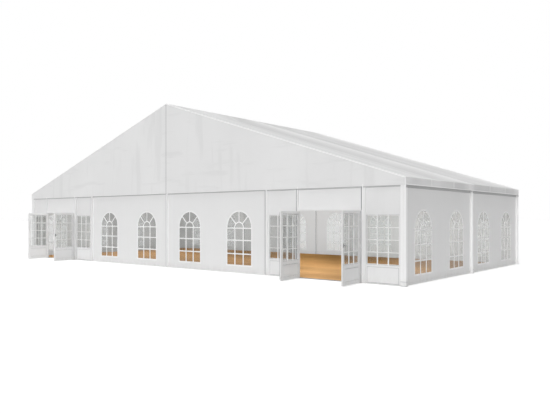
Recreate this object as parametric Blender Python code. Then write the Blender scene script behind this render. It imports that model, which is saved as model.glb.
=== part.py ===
# Clear-span marquee tent: aluminium portal frames, fabric roof and walls, two double doors.
# Metres, +Z up. X runs across the gable, Y along the ridge, and the front gable faces -Y.
# The origin is on the ground at the middle of the plan.
import math

import bmesh
import bpy
from mathutils import Vector

# Driving dimensions
SPAN = 20.0
BAY = 5.0
SIDE_BAYS = 2
EAVE_HEIGHT = 3.07
RIDGE_HEIGHT = 6.32
BAND_HEIGHT = 2.84
WALL_TOP = 2.90
WALL_FOOT = 0.005

# Frame members
PROFILE_DEPTH = 0.17
PROFILE_WIDTH = 0.10
UPRIGHT_WIDTH = 0.08
RAIL_DEPTH = 0.06
RAIL_FOOT = 2.78
GROOVE_WIDTH = 0.012
GROOVE_DEPTH = 0.012
SHOE_PROUD = 0.005
SHOE_HEIGHT = 0.14

# Sheets
FABRIC = 0.008
FILM = 0.006
FILM_FOOT = 0.20
FILM_TOP = 2.22
GAP = 0.0003

# Arched windows, two to a bay
WINDOW_OFFSET = 1.25
WINDOW_RADIUS = 0.585
WINDOW_SILL = 0.26
WINDOW_SPRING = 1.565
ARCH_STEPS = 16

# Door bays
DOOR_WIDTH = 2.316
DOOR_HEAD = 2.136
JAMB_WIDTH = 0.14
JAMB_FRONT = 0.05
JAMB_BACK = 0.04
PANEL = 0.04
PANE = 0.006
HEADER_HEIGHT = 0.08
SIDE_PANE_WIDTH = 1.06
SIDE_PANE_EDGE = 0.01
PANE_SILL = 0.565
PANE_TOP = 2.00

# Door leaves and their hinges
LEAF_FOOT = 0.02
LEAF_TOP = 2.12
LEAF_THICKNESS = 0.045
LEAF_RECESS = 0.005
LEAF_SIDE_GAP = 0.006
LEAF_MEETING_GAP = 0.008
STILE = 0.10
LEAF_PANE_SILL = 0.595
LEAF_PANE_TOP = 2.04
LOWER_PANEL_FOOT = 0.12
LOWER_PANEL_TOP = 0.51
LOWER_PANEL_SINK = 0.006
HINGE_OUT = 0.012
HINGE_IN = 0.013
KNUCKLE_RADIUS = 0.008
KNUCKLE_LENGTH = 0.05
KNUCKLE_SIDES = 12
STRAP_LENGTH = 0.05
STRAP_BITE = 0.003
STRAP_BACK = 0.003
STRAP_INSET = 0.002
HINGE_HEIGHTS = (0.30, 1.07, 1.84)
HANDLE_HEIGHT = 1.15
HANDLE_INSET = 0.05
HANDLE_REACH = 0.045
HANDLE_PLATE_WIDTH = 0.036
HANDLE_PLATE_HEIGHT = 0.12
HANDLE_PLATE_THICKNESS = 0.008
LEVER_LENGTH = 0.12
LEVER_HALF_THICKNESS = 0.009

FLOOR_THICKNESS = 0.03

# How far each leaf stands open, in degrees from closed
OPEN_ANGLES = {
    "left_door_left": 76.0,
    "left_door_right": 104.0,
    "right_door_left": 83.0,
    "right_door_right": 96.0,
}

# Worked out from the sizes above
HALF_SPAN = SPAN / 2
HALF_LENGTH = SIDE_BAYS * BAY / 2
LEG_OUT = HALF_SPAN + PROFILE_DEPTH / 2
LEG_IN = HALF_SPAN - PROFILE_DEPTH / 2
HALF_WIDTH = PROFILE_WIDTH / 2
HALF_UPRIGHT = UPRIGHT_WIDTH / 2
ROOF_SLOPE = (RIDGE_HEIGHT - EAVE_HEIGHT) / LEG_OUT
ROOF_SECANT = math.hypot(1.0, ROOF_SLOPE)
RAFTER_TOP_DROP = (FABRIC + GAP) * ROOF_SECANT
RAFTER_FOOT_DROP = RAFTER_TOP_DROP + PROFILE_DEPTH * ROOF_SECANT

WHITE_METAL = (0.86, 0.87, 0.87)
BARE_METAL = (0.62, 0.64, 0.66)
WHITE_FABRIC = (0.84, 0.84, 0.84)
CLEAR_FILM = (0.60, 0.66, 0.66)
WHITE_PANEL = (0.82, 0.83, 0.83)
DARK_HANDLE = (0.10, 0.11, 0.12)
FLOOR_WOOD = (0.62, 0.36, 0.16)


def clear_scene():
    for item in list(bpy.data.objects):
        bpy.data.objects.remove(item, do_unlink=True)


def make_material(name, color, roughness, metallic):
    made = bpy.data.materials.new(name)
    made.use_nodes = True
    shader = made.node_tree.nodes["Principled BSDF"]
    shader.inputs["Base Color"].default_value = (*color, 1.0)
    shader.inputs["Roughness"].default_value = roughness
    shader.inputs["Metallic"].default_value = metallic
    made.diffuse_color = (*color, 1.0)
    return made


def make_object(name, points, faces, material):
    mesh = bpy.data.meshes.new(name)
    mesh.from_pydata([Vector(point) for point in points], [], faces)
    tidy = bmesh.new()
    tidy.from_mesh(mesh)
    bmesh.ops.recalc_face_normals(tidy, faces=tidy.faces)
    tidy.to_mesh(mesh)
    tidy.free()
    made = bpy.data.objects.new(name, mesh)
    if material:
        mesh.materials.append(material)
    bpy.context.scene.collection.objects.link(made)
    return made


# A closed prism between two rings of points of the same count
def make_prism(name, low_ring, high_ring, material):
    count = len(low_ring)
    faces = [tuple(range(count)), tuple(range(2 * count - 1, count - 1, -1))]
    for index in range(count):
        after = (index + 1) % count
        faces.append((index, after, count + after, count + index))
    return make_object(name, list(low_ring) + list(high_ring), faces, material)


def make_box(name, low, high, material=None):
    corners = ((low[0], low[1]), (high[0], low[1]), (high[0], high[1]), (low[0], high[1]))
    low_ring = [(x, y, low[2]) for x, y in corners]
    high_ring = [(x, y, high[2]) for x, y in corners]
    return make_prism(name, low_ring, high_ring, material)


# An outline in X and Z, swept along Y
def sweep_y(name, outline, start, end, material=None):
    low_ring = [(x, start, z) for x, z in outline]
    high_ring = [(x, end, z) for x, z in outline]
    return make_prism(name, low_ring, high_ring, material)


# An outline in Y and Z, swept along X
def sweep_x(name, outline, start, end, material=None):
    low_ring = [(start, y, z) for y, z in outline]
    high_ring = [(end, y, z) for y, z in outline]
    return make_prism(name, low_ring, high_ring, material)


def make_knuckle(name, middle, foot, top):
    ring = []
    for step in range(KNUCKLE_SIDES):
        turn = math.tau * step / KNUCKLE_SIDES
        ring.append((middle[0] + KNUCKLE_RADIUS * math.cos(turn), middle[1] + KNUCKLE_RADIUS * math.sin(turn)))
    low_ring = [(x, y, foot) for x, y in ring]
    high_ring = [(x, y, top) for x, y in ring]
    return make_prism(name, low_ring, high_ring, None)


# Helpers shape a piece and stay out of the render
def combine(piece, helpers, operation):
    for helper in helpers:
        helper.hide_render = True
        helper.display_type = "WIRE"
        change = piece.modifiers.new(helper.name, "BOOLEAN")
        change.operation = operation
        change.object = helper
        change.solver = "EXACT"


def arch_outline(middle):
    outline = [(middle - WINDOW_RADIUS, WINDOW_SILL), (middle + WINDOW_RADIUS, WINDOW_SILL)]
    for step in range(ARCH_STEPS + 1):
        turn = math.pi * step / ARCH_STEPS
        across = middle + WINDOW_RADIUS * math.cos(turn)
        outline.append((across, WINDOW_SPRING + WINDOW_RADIUS * math.sin(turn)))
    return outline


def roof_height(across):
    return RIDGE_HEIGHT - ROOF_SLOPE * abs(across)


def rafter_underside(across):
    return roof_height(across) - RAFTER_FOOT_DROP


# Names for the two ends of the tent, and which way each faces
GABLES = (("front", -1), ("rear", 1))
SIDES = (("left", -1), ("right", 1))


# Plan of an extruded profile with a groove in the two faces across the named axis
def grooved_ring(middle, half_x, half_y, groove_sides):
    half = GROOVE_WIDTH / 2
    deep = GROOVE_DEPTH
    if groove_sides == "Y":
        local = [
            (-half_x, -half_y), (-half, -half_y), (-half, deep - half_y),
            (half, deep - half_y), (half, -half_y), (half_x, -half_y),
            (half_x, half_y), (half, half_y), (half, half_y - deep),
            (-half, half_y - deep), (-half, half_y), (-half_x, half_y),
        ]
    else:
        local = [
            (-half_x, -half_y), (half_x, -half_y), (half_x, -half),
            (half_x - deep, -half), (half_x - deep, half), (half_x, half),
            (half_x, half_y), (-half_x, half_y), (-half_x, half),
            (deep - half_x, half), (deep - half_x, -half), (-half_x, -half),
        ]
    return [(middle[0] + x, middle[1] + y) for x, y in local]


def make_legs(material):
    for side, out in SIDES:
        for frame, along in (("front", -HALF_LENGTH), ("middle", 0.0), ("rear", HALF_LENGTH)):
            middle = (out * HALF_SPAN, along)
            ring = grooved_ring(middle, PROFILE_DEPTH / 2, HALF_WIDTH, "Y")
            low_ring = [(x, y, 0.0) for x, y in ring]
            high_ring = [(x, y, rafter_underside(x) - GAP) for x, y in ring]
            leg = make_prism(f"{side}_{frame}_leg", low_ring, high_ring, material)
            faces = sorted((out * LEG_IN, out * (LEG_OUT + SHOE_PROUD)))
            low = (faces[0], along - HALF_WIDTH, 0.0)
            high = (faces[1], along + HALF_WIDTH, SHOE_HEIGHT)
            combine(leg, [make_box(f"{side}_{frame}_shoe_helper", low, high)], "UNION")


def make_rafters(material):
    outline = [
        (-LEG_OUT, roof_height(LEG_OUT) - RAFTER_FOOT_DROP),
        (0.0, RIDGE_HEIGHT - RAFTER_FOOT_DROP),
        (LEG_OUT, roof_height(LEG_OUT) - RAFTER_FOOT_DROP),
        (LEG_OUT, roof_height(LEG_OUT) - RAFTER_TOP_DROP),
        (0.0, RIDGE_HEIGHT - RAFTER_TOP_DROP),
        (-LEG_OUT, roof_height(LEG_OUT) - RAFTER_TOP_DROP),
    ]
    for frame, along in (("front", -HALF_LENGTH), ("middle", 0.0), ("rear", HALF_LENGTH)):
        sweep_y(f"{frame}_rafters", outline, along - HALF_WIDTH, along + HALF_WIDTH, material)


def make_purlins(material):
    half = RAIL_DEPTH / 2
    top = rafter_underside(half) - GAP
    reach = HALF_LENGTH - HALF_WIDTH - GAP
    make_box("ridge_purlin", (-half, -reach, top - PROFILE_WIDTH), (half, reach, top), material)
    end = reach - RAIL_DEPTH - GAP
    for side, out in SIDES:
        faces = sorted((out * (LEG_IN - GAP), out * (LEG_IN - GAP - RAIL_DEPTH)))
        low = (faces[0], -end, RAIL_FOOT)
        high = (faces[1], end, WALL_TOP)
        make_box(f"{side}_eave_purlin", low, high, material)


def make_gable_frame(gable, facing, material):
    along = facing * HALF_LENGTH
    for place, across in (("left", -BAY), ("centre", 0.0), ("right", BAY)):
        ring = grooved_ring((across, along), HALF_UPRIGHT, HALF_WIDTH, "X")
        low_ring = [(x, y, 0.0) for x, y in ring]
        if across:
            tops = [rafter_underside(x) - GAP for x, y in ring]
        else:
            tops = [rafter_underside(HALF_UPRIGHT) - GAP for x, y in ring]
        high_ring = [(x, y, top) for (x, y), top in zip(ring, tops)]
        make_prism(f"{gable}_{place}_upright", low_ring, high_ring, material)
    inner = along - facing * (HALF_WIDTH + GAP)
    faces = sorted((inner, inner - facing * RAIL_DEPTH))
    reach = LEG_IN - GAP
    make_box(f"{gable}_gable_rail", (-reach, faces[0], RAIL_FOOT), (reach, faces[1], WALL_TOP), material)


def make_roof_covers(material):
    outer = LEG_OUT + GAP + FABRIC
    inner = LEG_OUT + GAP
    lining_drop = FABRIC * ROOF_SECANT
    outline = [
        (-outer, BAND_HEIGHT), (-inner, BAND_HEIGHT), (-inner, roof_height(inner) - lining_drop),
        (0.0, RIDGE_HEIGHT - lining_drop),
        (inner, roof_height(inner) - lining_drop), (inner, BAND_HEIGHT), (outer, BAND_HEIGHT),
        (outer, roof_height(outer)), (0.0, RIDGE_HEIGHT), (-outer, roof_height(outer)),
    ]
    reach = HALF_LENGTH + HALF_WIDTH
    sweep_y("front_roof_cover", outline, -reach, -GAP / 2, material)
    sweep_y("rear_roof_cover", outline, GAP / 2, reach, material)


def make_gable_sheet(gable, facing, material):
    edge = LEG_OUT + GAP + FABRIC
    outline = [
        (-edge, BAND_HEIGHT), (edge, BAND_HEIGHT), (edge, roof_height(edge)),
        (0.0, RIDGE_HEIGHT), (-edge, roof_height(edge)),
    ]
    inner = facing * (HALF_LENGTH + HALF_WIDTH + GAP)
    faces = sorted((inner, inner + facing * FABRIC))
    sweep_y(f"{gable}_gable_sheet", outline, faces[0], faces[1], material)


def make_side_walls(fabric, film):
    half = FABRIC / 2
    for side, out in SIDES:
        across = out * HALF_SPAN
        for bay, middle in (("front", -BAY / 2), ("rear", BAY / 2)):
            reach = BAY / 2 - HALF_WIDTH - GAP
            low = (across - half, middle - reach, WALL_FOOT)
            high = (across + half, middle + reach, WALL_TOP)
            wall = make_box(f"{side}_{bay}_wall", low, high, fabric)
            cutters = []
            for offset in (-WINDOW_OFFSET, WINDOW_OFFSET):
                outline = arch_outline(middle + offset)
                name = f"{side}_{bay}_window_cutter_{len(cutters) + 1}"
                cutters.append(sweep_x(name, outline, across - FABRIC, across + FABRIC))
            combine(wall, cutters, "DIFFERENCE")
        faces = sorted((out * (LEG_IN - GAP), out * (LEG_IN - GAP - FILM)))
        end = HALF_LENGTH - PROFILE_WIDTH
        low = (faces[0], -end, FILM_FOOT)
        high = (faces[1], end, FILM_TOP)
        make_box(f"{side}_window_film", low, high, film)


def make_gable_walls(gable, facing, bays, film_reach, fabric, film):
    along = facing * HALF_LENGTH
    for place, start, start_half, end, end_half in bays:
        low = (start + start_half + GAP, along - FABRIC / 2, WALL_FOOT)
        high = (end - end_half - GAP, along + FABRIC / 2, WALL_TOP)
        wall = make_box(f"{gable}_{place}_wall", low, high, fabric)
        cutters = []
        for offset in (-WINDOW_OFFSET, WINDOW_OFFSET):
            outline = arch_outline((start + end) / 2 + offset)
            name = f"{gable}_{place}_window_cutter_{len(cutters) + 1}"
            cutters.append(sweep_y(name, outline, along - FABRIC, along + FABRIC))
        combine(wall, cutters, "DIFFERENCE")
    inner = along - facing * (HALF_WIDTH + GAP)
    faces = sorted((inner, inner - facing * FILM))
    low = (-film_reach, faces[0], FILM_FOOT)
    high = (film_reach, faces[1], FILM_TOP)
    make_box(f"{gable}_window_film", low, high, film)


# Plan of a fixed door panel: a thin panel with the deeper door jamb along its inner edge
def side_panel_plan(jamb_edge, jamb_back_edge, far_edge):
    front = -HALF_LENGTH
    return [
        (jamb_edge, front - JAMB_FRONT), (jamb_edge, front + JAMB_BACK),
        (jamb_back_edge, front + JAMB_BACK), (jamb_back_edge, front + PANEL / 2),
        (far_edge, front + PANEL / 2), (far_edge, front - PANEL / 2),
        (jamb_back_edge, front - PANEL / 2), (jamb_back_edge, front - JAMB_FRONT),
    ]


def make_side_panel(door, side, door_middle, far_edge, panel, glass):
    toward = 1 if side == "right" else -1
    jamb_edge = door_middle + toward * DOOR_WIDTH / 2
    jamb_back_edge = jamb_edge + toward * JAMB_WIDTH
    plan = side_panel_plan(jamb_edge, jamb_back_edge, far_edge)
    low_ring = [(x, y, 0.0) for x, y in plan]
    high_ring = [(x, y, WALL_TOP) for x, y in plan]
    name = f"{door}_{side}_panel"
    piece = make_prism(name, low_ring, high_ring, panel)
    near = jamb_back_edge + toward * SIDE_PANE_EDGE
    faces = sorted((near, near + toward * SIDE_PANE_WIDTH))
    front = -HALF_LENGTH
    low = (faces[0], front - PANEL, PANE_SILL)
    high = (faces[1], front + PANEL, PANE_TOP)
    combine(piece, [make_box(f"{name}_window_cutter", low, high)], "DIFFERENCE")
    straps = []
    knuckles = []
    hinge_x = jamb_edge - toward * HINGE_IN
    hinge_y = front - JAMB_FRONT - HINGE_OUT
    for height in HINGE_HEIGHTS:
        count = len(knuckles) + 1
        foot = height - KNUCKLE_LENGTH
        knuckles.append(make_knuckle(f"{name}_knuckle_{count}", (hinge_x, hinge_y), foot, height))
        start = hinge_x - toward * STRAP_BACK
        across = sorted((start, hinge_x + toward * (HINGE_IN + STRAP_LENGTH)))
        low = (across[0], hinge_y + KNUCKLE_RADIUS / 2, foot + STRAP_INSET)
        high = (across[1], front - JAMB_FRONT + STRAP_BITE, height - STRAP_INSET)
        straps.append(make_box(f"{name}_strap_{count}", low, high))
    combine(piece, knuckles + straps, "UNION")
    low = (faces[0] + GAP, front - PANE / 2, PANE_SILL + GAP)
    high = (faces[1] - GAP, front + PANE / 2, PANE_TOP - GAP)
    make_box(f"{door}_{side}_pane", low, high, glass)


def make_transom(door, door_middle, panel):
    front = -HALF_LENGTH
    outline = [
        (front - JAMB_FRONT, DOOR_HEAD), (front + JAMB_BACK, DOOR_HEAD),
        (front + JAMB_BACK, DOOR_HEAD + HEADER_HEIGHT), (front + PANEL / 2, DOOR_HEAD + HEADER_HEIGHT),
        (front + PANEL / 2, WALL_TOP), (front - PANEL / 2, WALL_TOP),
        (front - PANEL / 2, DOOR_HEAD + HEADER_HEIGHT), (front - JAMB_FRONT, DOOR_HEAD + HEADER_HEIGHT),
    ]
    reach = DOOR_WIDTH / 2 - GAP
    sweep_x(f"{door}_transom", outline, door_middle - reach, door_middle + reach, panel)


# A leaf is built closed, beside an empty on its hinge axis, and the empty turns it open
def make_leaf(door, side, door_middle, panel, glass, handle):
    toward = 1 if side == "right" else -1
    key = f"{door}_{side}"
    hinge = bpy.data.objects.new(f"{key}_hinge_axis", None)
    bpy.context.scene.collection.objects.link(hinge)
    hinge_x = door_middle + toward * (DOOR_WIDTH / 2 - HINGE_IN)
    hinge.location = (hinge_x, -HALF_LENGTH - JAMB_FRONT - HINGE_OUT, 0.0)
    hinge.rotation_euler = (0.0, 0.0, math.radians(toward * OPEN_ANGLES[key]))

    inward = -toward
    hung_edge = inward * (LEAF_SIDE_GAP - HINGE_IN)
    free_edge = inward * (DOOR_WIDTH / 2 - HINGE_IN - LEAF_MEETING_GAP / 2)
    outer = HINGE_OUT + LEAF_RECESS
    inner = outer + LEAF_THICKNESS
    across = sorted((hung_edge, free_edge))
    leaf = make_box(f"{key}_leaf", (across[0], outer, LEAF_FOOT), (across[1], inner, LEAF_TOP), panel)
    window = (across[0] + STILE, across[1] - STILE)
    cutters = [
        make_box(
            f"{key}_window_cutter",
            (window[0], outer - LEAF_THICKNESS, LEAF_PANE_SILL),
            (window[1], inner + LEAF_THICKNESS, LEAF_PANE_TOP),
        )
    ]
    for face, start in (("outer", outer - LEAF_THICKNESS), ("inner", inner - LOWER_PANEL_SINK)):
        cutters.append(
            make_box(
                f"{key}_{face}_sink_cutter",
                (window[0], start, LOWER_PANEL_FOOT),
                (window[1], start + LEAF_THICKNESS + LOWER_PANEL_SINK, LOWER_PANEL_TOP),
            )
        )
    combine(leaf, cutters, "DIFFERENCE")
    joined = []
    for count, height in enumerate(HINGE_HEIGHTS, 1):
        foot = height + GAP
        top = height + KNUCKLE_LENGTH
        joined.append(make_knuckle(f"{key}_leaf_knuckle_{count}", (0.0, 0.0), foot, top))
        strap = sorted((-inward * STRAP_BACK, inward * STRAP_LENGTH))
        low = (strap[0], KNUCKLE_RADIUS / 4, foot + STRAP_INSET)
        high = (strap[1], outer + STRAP_BITE, top - STRAP_INSET)
        joined.append(make_box(f"{key}_leaf_strap_{count}", low, high))
    combine(leaf, joined, "UNION")

    middle = (outer + inner) / 2
    low = (window[0] + GAP, middle - PANE / 2, LEAF_PANE_SILL + GAP)
    high = (window[1] - GAP, middle + PANE / 2, LEAF_PANE_TOP - GAP)
    pane = make_box(f"{key}_leaf_pane", low, high, glass)
    moving = [leaf, pane] + cutters + joined
    if side == "right":
        moving += make_handle(key, free_edge, outer, toward, handle)
    for piece in moving:
        piece.parent = hinge


# A rose plate, a neck and a lever on the outer face of a leaf
def make_handle(key, free_edge, outer, toward, material):
    across = free_edge + toward * HANDLE_INSET
    face = outer - GAP
    half_width = HANDLE_PLATE_WIDTH / 2
    half_height = HANDLE_PLATE_HEIGHT / 2
    bar = LEVER_HALF_THICKNESS
    plate = make_box(
        f"{key}_handle",
        (across - half_width, face - HANDLE_PLATE_THICKNESS, HANDLE_HEIGHT - half_height),
        (across + half_width, face, HANDLE_HEIGHT + half_height),
        material,
    )
    neck = make_box(
        f"{key}_handle_neck",
        (across - bar, face - HANDLE_REACH, HANDLE_HEIGHT - bar),
        (across + bar, face - HANDLE_PLATE_THICKNESS / 2, HANDLE_HEIGHT + bar),
    )
    reach = sorted((across - toward * bar, across + toward * LEVER_LENGTH))
    lever = make_box(
        f"{key}_handle_lever",
        (reach[0], face - HANDLE_REACH - bar, HANDLE_HEIGHT - bar),
        (reach[1], face - HANDLE_REACH + bar, HANDLE_HEIGHT + bar),
    )
    combine(plate, [neck, lever], "UNION")
    return [plate, neck, lever]


def make_door_bay(door, bay_middle, panel, glass, handle):
    edges = {"left": bay_middle - BAY / 2, "right": bay_middle + BAY / 2}
    for side, toward in SIDES:
        at_corner = abs(edges[side]) > HALF_SPAN - GAP
        clearance = PROFILE_DEPTH / 2 if at_corner else HALF_UPRIGHT
        far_edge = edges[side] - toward * (clearance + GAP)
        make_side_panel(door, side, bay_middle, far_edge, panel, glass)
    make_transom(door, bay_middle, panel)
    for side, toward in SIDES:
        make_leaf(door, side, bay_middle, panel, glass, handle)


def make_floor(material):
    across = LEG_IN - GAP
    along = HALF_LENGTH - HALF_WIDTH - GAP
    make_box("floor", (-across, -along, 0.0), (across, along, FLOOR_THICKNESS), material)


def build():
    clear_scene()
    metal = make_material("white_metal", WHITE_METAL, 0.35, 0.1)
    bare = make_material("bare_metal", BARE_METAL, 0.4, 0.9)
    fabric = make_material("white_fabric", WHITE_FABRIC, 0.6, 0.0)
    film = make_material("clear_film", CLEAR_FILM, 0.1, 0.0)
    panel = make_material("white_panel", WHITE_PANEL, 0.4, 0.0)
    dark = make_material("dark_handle", DARK_HANDLE, 0.4, 0.6)
    wood = make_material("floor_wood", FLOOR_WOOD, 0.35, 0.0)

    make_legs(metal)
    make_rafters(bare)
    make_purlins(bare)
    for gable, facing in GABLES:
        make_gable_frame(gable, facing, metal)
        make_gable_sheet(gable, facing, fabric)
    make_roof_covers(fabric)
    make_side_walls(fabric, film)
    leg = PROFILE_DEPTH / 2
    upright = HALF_UPRIGHT - GROOVE_DEPTH
    front_bays = (("left", -BAY, upright, 0.0, upright), ("right", 0.0, upright, BAY, upright))
    rear_bays = (
        ("outer_left", -HALF_SPAN, leg, -BAY, upright),
        ("inner_left", -BAY, upright, 0.0, upright),
        ("inner_right", 0.0, upright, BAY, upright),
        ("outer_right", BAY, upright, HALF_SPAN, leg),
    )
    make_gable_walls("front", -1, front_bays, BAY, fabric, film)
    make_gable_walls("rear", 1, rear_bays, HALF_SPAN - PROFILE_DEPTH, fabric, film)
    door_bay_middle = BAY + BAY / 2
    make_door_bay("left_door", -door_bay_middle, panel, film, dark)
    make_door_bay("right_door", door_bay_middle, panel, film, dark)
    make_floor(wood)


build()
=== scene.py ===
import math

import bmesh
import bpy
from mathutils import Matrix, Vector, geometry, noise


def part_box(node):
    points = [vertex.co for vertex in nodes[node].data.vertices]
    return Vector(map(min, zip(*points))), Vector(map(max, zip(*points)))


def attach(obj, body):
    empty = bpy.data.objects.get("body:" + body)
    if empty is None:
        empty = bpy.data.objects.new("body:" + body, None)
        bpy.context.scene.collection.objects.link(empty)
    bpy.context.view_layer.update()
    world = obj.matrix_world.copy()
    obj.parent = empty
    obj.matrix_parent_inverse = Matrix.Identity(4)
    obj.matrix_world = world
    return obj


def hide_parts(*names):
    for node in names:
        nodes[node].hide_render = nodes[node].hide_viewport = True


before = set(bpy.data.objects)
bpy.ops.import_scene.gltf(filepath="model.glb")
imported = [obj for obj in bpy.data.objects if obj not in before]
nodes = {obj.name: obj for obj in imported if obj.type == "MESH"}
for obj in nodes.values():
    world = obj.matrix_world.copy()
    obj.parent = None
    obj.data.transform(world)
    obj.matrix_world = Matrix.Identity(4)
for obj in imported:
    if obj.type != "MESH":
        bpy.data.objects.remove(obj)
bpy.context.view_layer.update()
print("frame loaded:", len(nodes), "nodes")

# The tent in the row frame: X across the gable, Y along the ridge, metres.
tent = {
    "halfSpan": 10.0, "halfLength": 5.0, "bay": 5.0,
    "profileHalf": 0.05,   # half the depth of legs and uprights
    "outer": 10.0933,      # outer face of the roof cover at the eave
    "eave": 3.0673, "ridge": 6.32,
    "bandFoot": 2.84, "wallTop": 2.90, "wallFoot": 0.005,
    "gableFace": 5.0583,   # outer face of the gable sheet
    "coverEnd": 5.05,
}
roofPitch = (tent["ridge"] - tent["eave"]) / tent["outer"]


# Node helpers: a value wired to a socket is another socket or the socket's own constant.
def wire(tree, value, socket):
    if isinstance(value, bpy.types.NodeSocket):
        tree.links.new(value, socket)
    elif value is not None:
        socket.default_value = value


def wireAll(tree, node, inputs):
    for key, value in inputs.items():
        wire(tree, value, node.inputs[key])
    return node


def put(tree, kind, inputs=None, **settings):
    node = tree.nodes.new(kind)
    node.location = (190 * len(tree.nodes), -40 * (len(tree.nodes) % 5))
    for key, value in settings.items():
        setattr(node, key, value)
    return wireAll(tree, node, inputs or {})


socketKinds = {int: "Int", float: "Float", 3: "Vector", 4: "Color"}
surfaceOutputs = {"Colour": "Color", "Roughness": "Float", "Height": "Float"}
shapeOutputs = {"Geometry": "Geometry"}


# An input is given by its default, or by the kind of its socket.
def startGroup(name, kind, inputs, outputs):
    tree = bpy.data.node_groups.new(name, kind)
    for label, value in inputs.items():
        form = len(value) if isinstance(value, tuple) else type(value)
        socket = value if isinstance(value, str) else socketKinds[form]
        item = tree.interface.new_socket(label, in_out="INPUT", socket_type="NodeSocket" + socket)
        if value != socket:
            item.default_value = value
    for label, socket in outputs.items():
        tree.interface.new_socket(label, in_out="OUTPUT", socket_type="NodeSocket" + socket)
    return tree, put(tree, "NodeGroupInput").outputs, put(tree, "NodeGroupOutput")


def maths(tree, operation, first, second=None, clamp=False):
    node = put(tree, "ShaderNodeMath", {0: first, 1: second}, operation=operation, use_clamp=clamp)
    return node.outputs[0]


def times(tree, first, second, clamp=False):
    return maths(tree, "MULTIPLY", first, second, clamp)


def plus(tree, *values, clamp=False):
    total = values[0]
    for value in values[1:]:
        total = maths(tree, "ADD", total, value, clamp)
    return total


def ramp(tree, value, low, high, newLow=0.0, newHigh=1.0, smooth=False):
    inputs = dict(enumerate((value, low, high, newLow, newHigh)))
    form = "SMOOTHSTEP" if smooth else "LINEAR"
    return put(tree, "ShaderNodeMapRange", inputs, interpolation_type=form).outputs[0]


def blendColour(tree, factor, first, second, kind="MIX"):
    sockets = {0: factor, 6: first, 7: second}   # the colour sockets of a Mix node
    return put(tree, "ShaderNodeMix", sockets, data_type="RGBA", blend_type=kind).outputs[2]


def tint(tree, colour, value, saturation=None):
    inputs = {"Color": colour, "Value": value, "Saturation": saturation}
    return put(tree, "ShaderNodeHueSaturation", inputs).outputs[0]


def vectorMaths(tree, operation, inputs):
    return put(tree, "ShaderNodeVectorMath", inputs, operation=operation).outputs[0]


def combine(tree, x=None, y=None, z=None):
    return put(tree, "ShaderNodeCombineXYZ", {0: x, 1: y, 2: z}).outputs[0]


def axes(tree, vector):
    return put(tree, "ShaderNodeSeparateXYZ", {0: vector}).outputs


def objectPlace(tree):
    return put(tree, "ShaderNodeTexCoord").outputs["Object"]


def speckle(tree, place, scale, detail=3.0, rough=0.5, stretch=(1, 1, 1), shift=(0, 0, 0)):
    mapped = put(tree, "ShaderNodeMapping", {"Vector": place, "Location": shift, "Scale": stretch})
    inputs = {"Vector": mapped.outputs[0], "Scale": scale, "Detail": detail, "Roughness": rough}
    return put(tree, "ShaderNodeTexNoise", inputs).outputs[0]


def seenDirectly(tree):
    rays = put(tree, "ShaderNodeLightPath").outputs
    return maths(tree, "MAXIMUM", rays["Is Camera Ray"], rays["Is Transmission Ray"])


def startMaterial(name, constants):
    material = bpy.data.materials.new(name)
    material.use_nodes = True
    tree = material.node_tree
    return material, tree, wireAll(tree, tree.nodes["Principled BSDF"], constants)


def grey(tone):
    return (tone, tone, tone, 1)


def addObject(name, data):
    obj = bpy.data.objects.new(name, data)
    bpy.context.scene.collection.objects.link(obj)
    return obj


# Camera, floor and lights
cameraSettings = {
    "place": (17.544, -20.002, 1.933), "turn": 39.092, "lens": 38.43, "shift": 0.0196,
    "sensor": 36, "far": 1000,
}
lightSettings = {
    "suns": {   # the way to each light, its strength and the angle it fills
        "key": ((0.15, -0.93, 0.33), 1.00, 22),
        "top": ((0.04, -0.119, 0.99), 1.60, 24),
        "flank": ((0.97, -0.10, 0.20), 0.21, 22)},
    "sky": 0.34, "floor": 0.74, "floorGlow": 0.34, "floorHalf": 300, "floorDrop": 0.002,
    "hallMiddle": 1.65, "hallHeight": 1.9, "hallSpread": 130,
    "hall": [   # place, turns, length and power of the panels that light the hall's walls
        ((0, 0), (90, 0, 0), 19.0, 168.0), ((0, -0.1), (-90, 0, 0), 19.0, 135.0),
        ((4, 0), (0, -90, 0), 9.0, 70.0), ((-4, 0), (0, 90, 0), 9.0, 50.0)],
    "ceiling": {"spot": (0, -1.0, 2.70), "turns": (0, 0, 0), "size": (19.0, 4.0), "power": 112.0,
                "spread": 120},
}

cameraData = bpy.data.cameras.new("camera")
camera = addObject("camera", cameraData)
camera.location = cameraSettings["place"]
camera.rotation_euler = (math.radians(90), 0, math.radians(cameraSettings["turn"]))
cameraData.lens = cameraSettings["lens"]
cameraData.sensor_width = cameraSettings["sensor"]
cameraData.shift_y = cameraSettings["shift"]
cameraData.clip_end = cameraSettings["far"]
bpy.context.scene.camera = camera
bpy.context.scene.view_settings.view_transform = "Standard"

for label, (toward, strength, angle) in lightSettings["suns"].items():
    lamp = bpy.data.lights.new(label, "SUN")
    lamp.energy = strength
    lamp.angle = math.radians(angle)
    addObject(label, lamp).rotation_euler = Vector(toward).to_track_quat("Z", "Y").to_euler()


def softPanel(name, spot, turns, size, power, spread):   # daylight that the cloth lets into the hall
    lamp = bpy.data.lights.new(name, "AREA")
    lamp.shape = "RECTANGLE"
    lamp.size, lamp.size_y = size
    lamp.spread = math.radians(spread)
    lamp.energy = power
    lampObject = addObject(name, lamp)
    lampObject.location = spot
    lampObject.rotation_euler = [math.radians(turn) for turn in turns]
    lampObject.visible_camera = False
    lampObject.visible_glossy = False
    lampObject.visible_transmission = False


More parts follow.
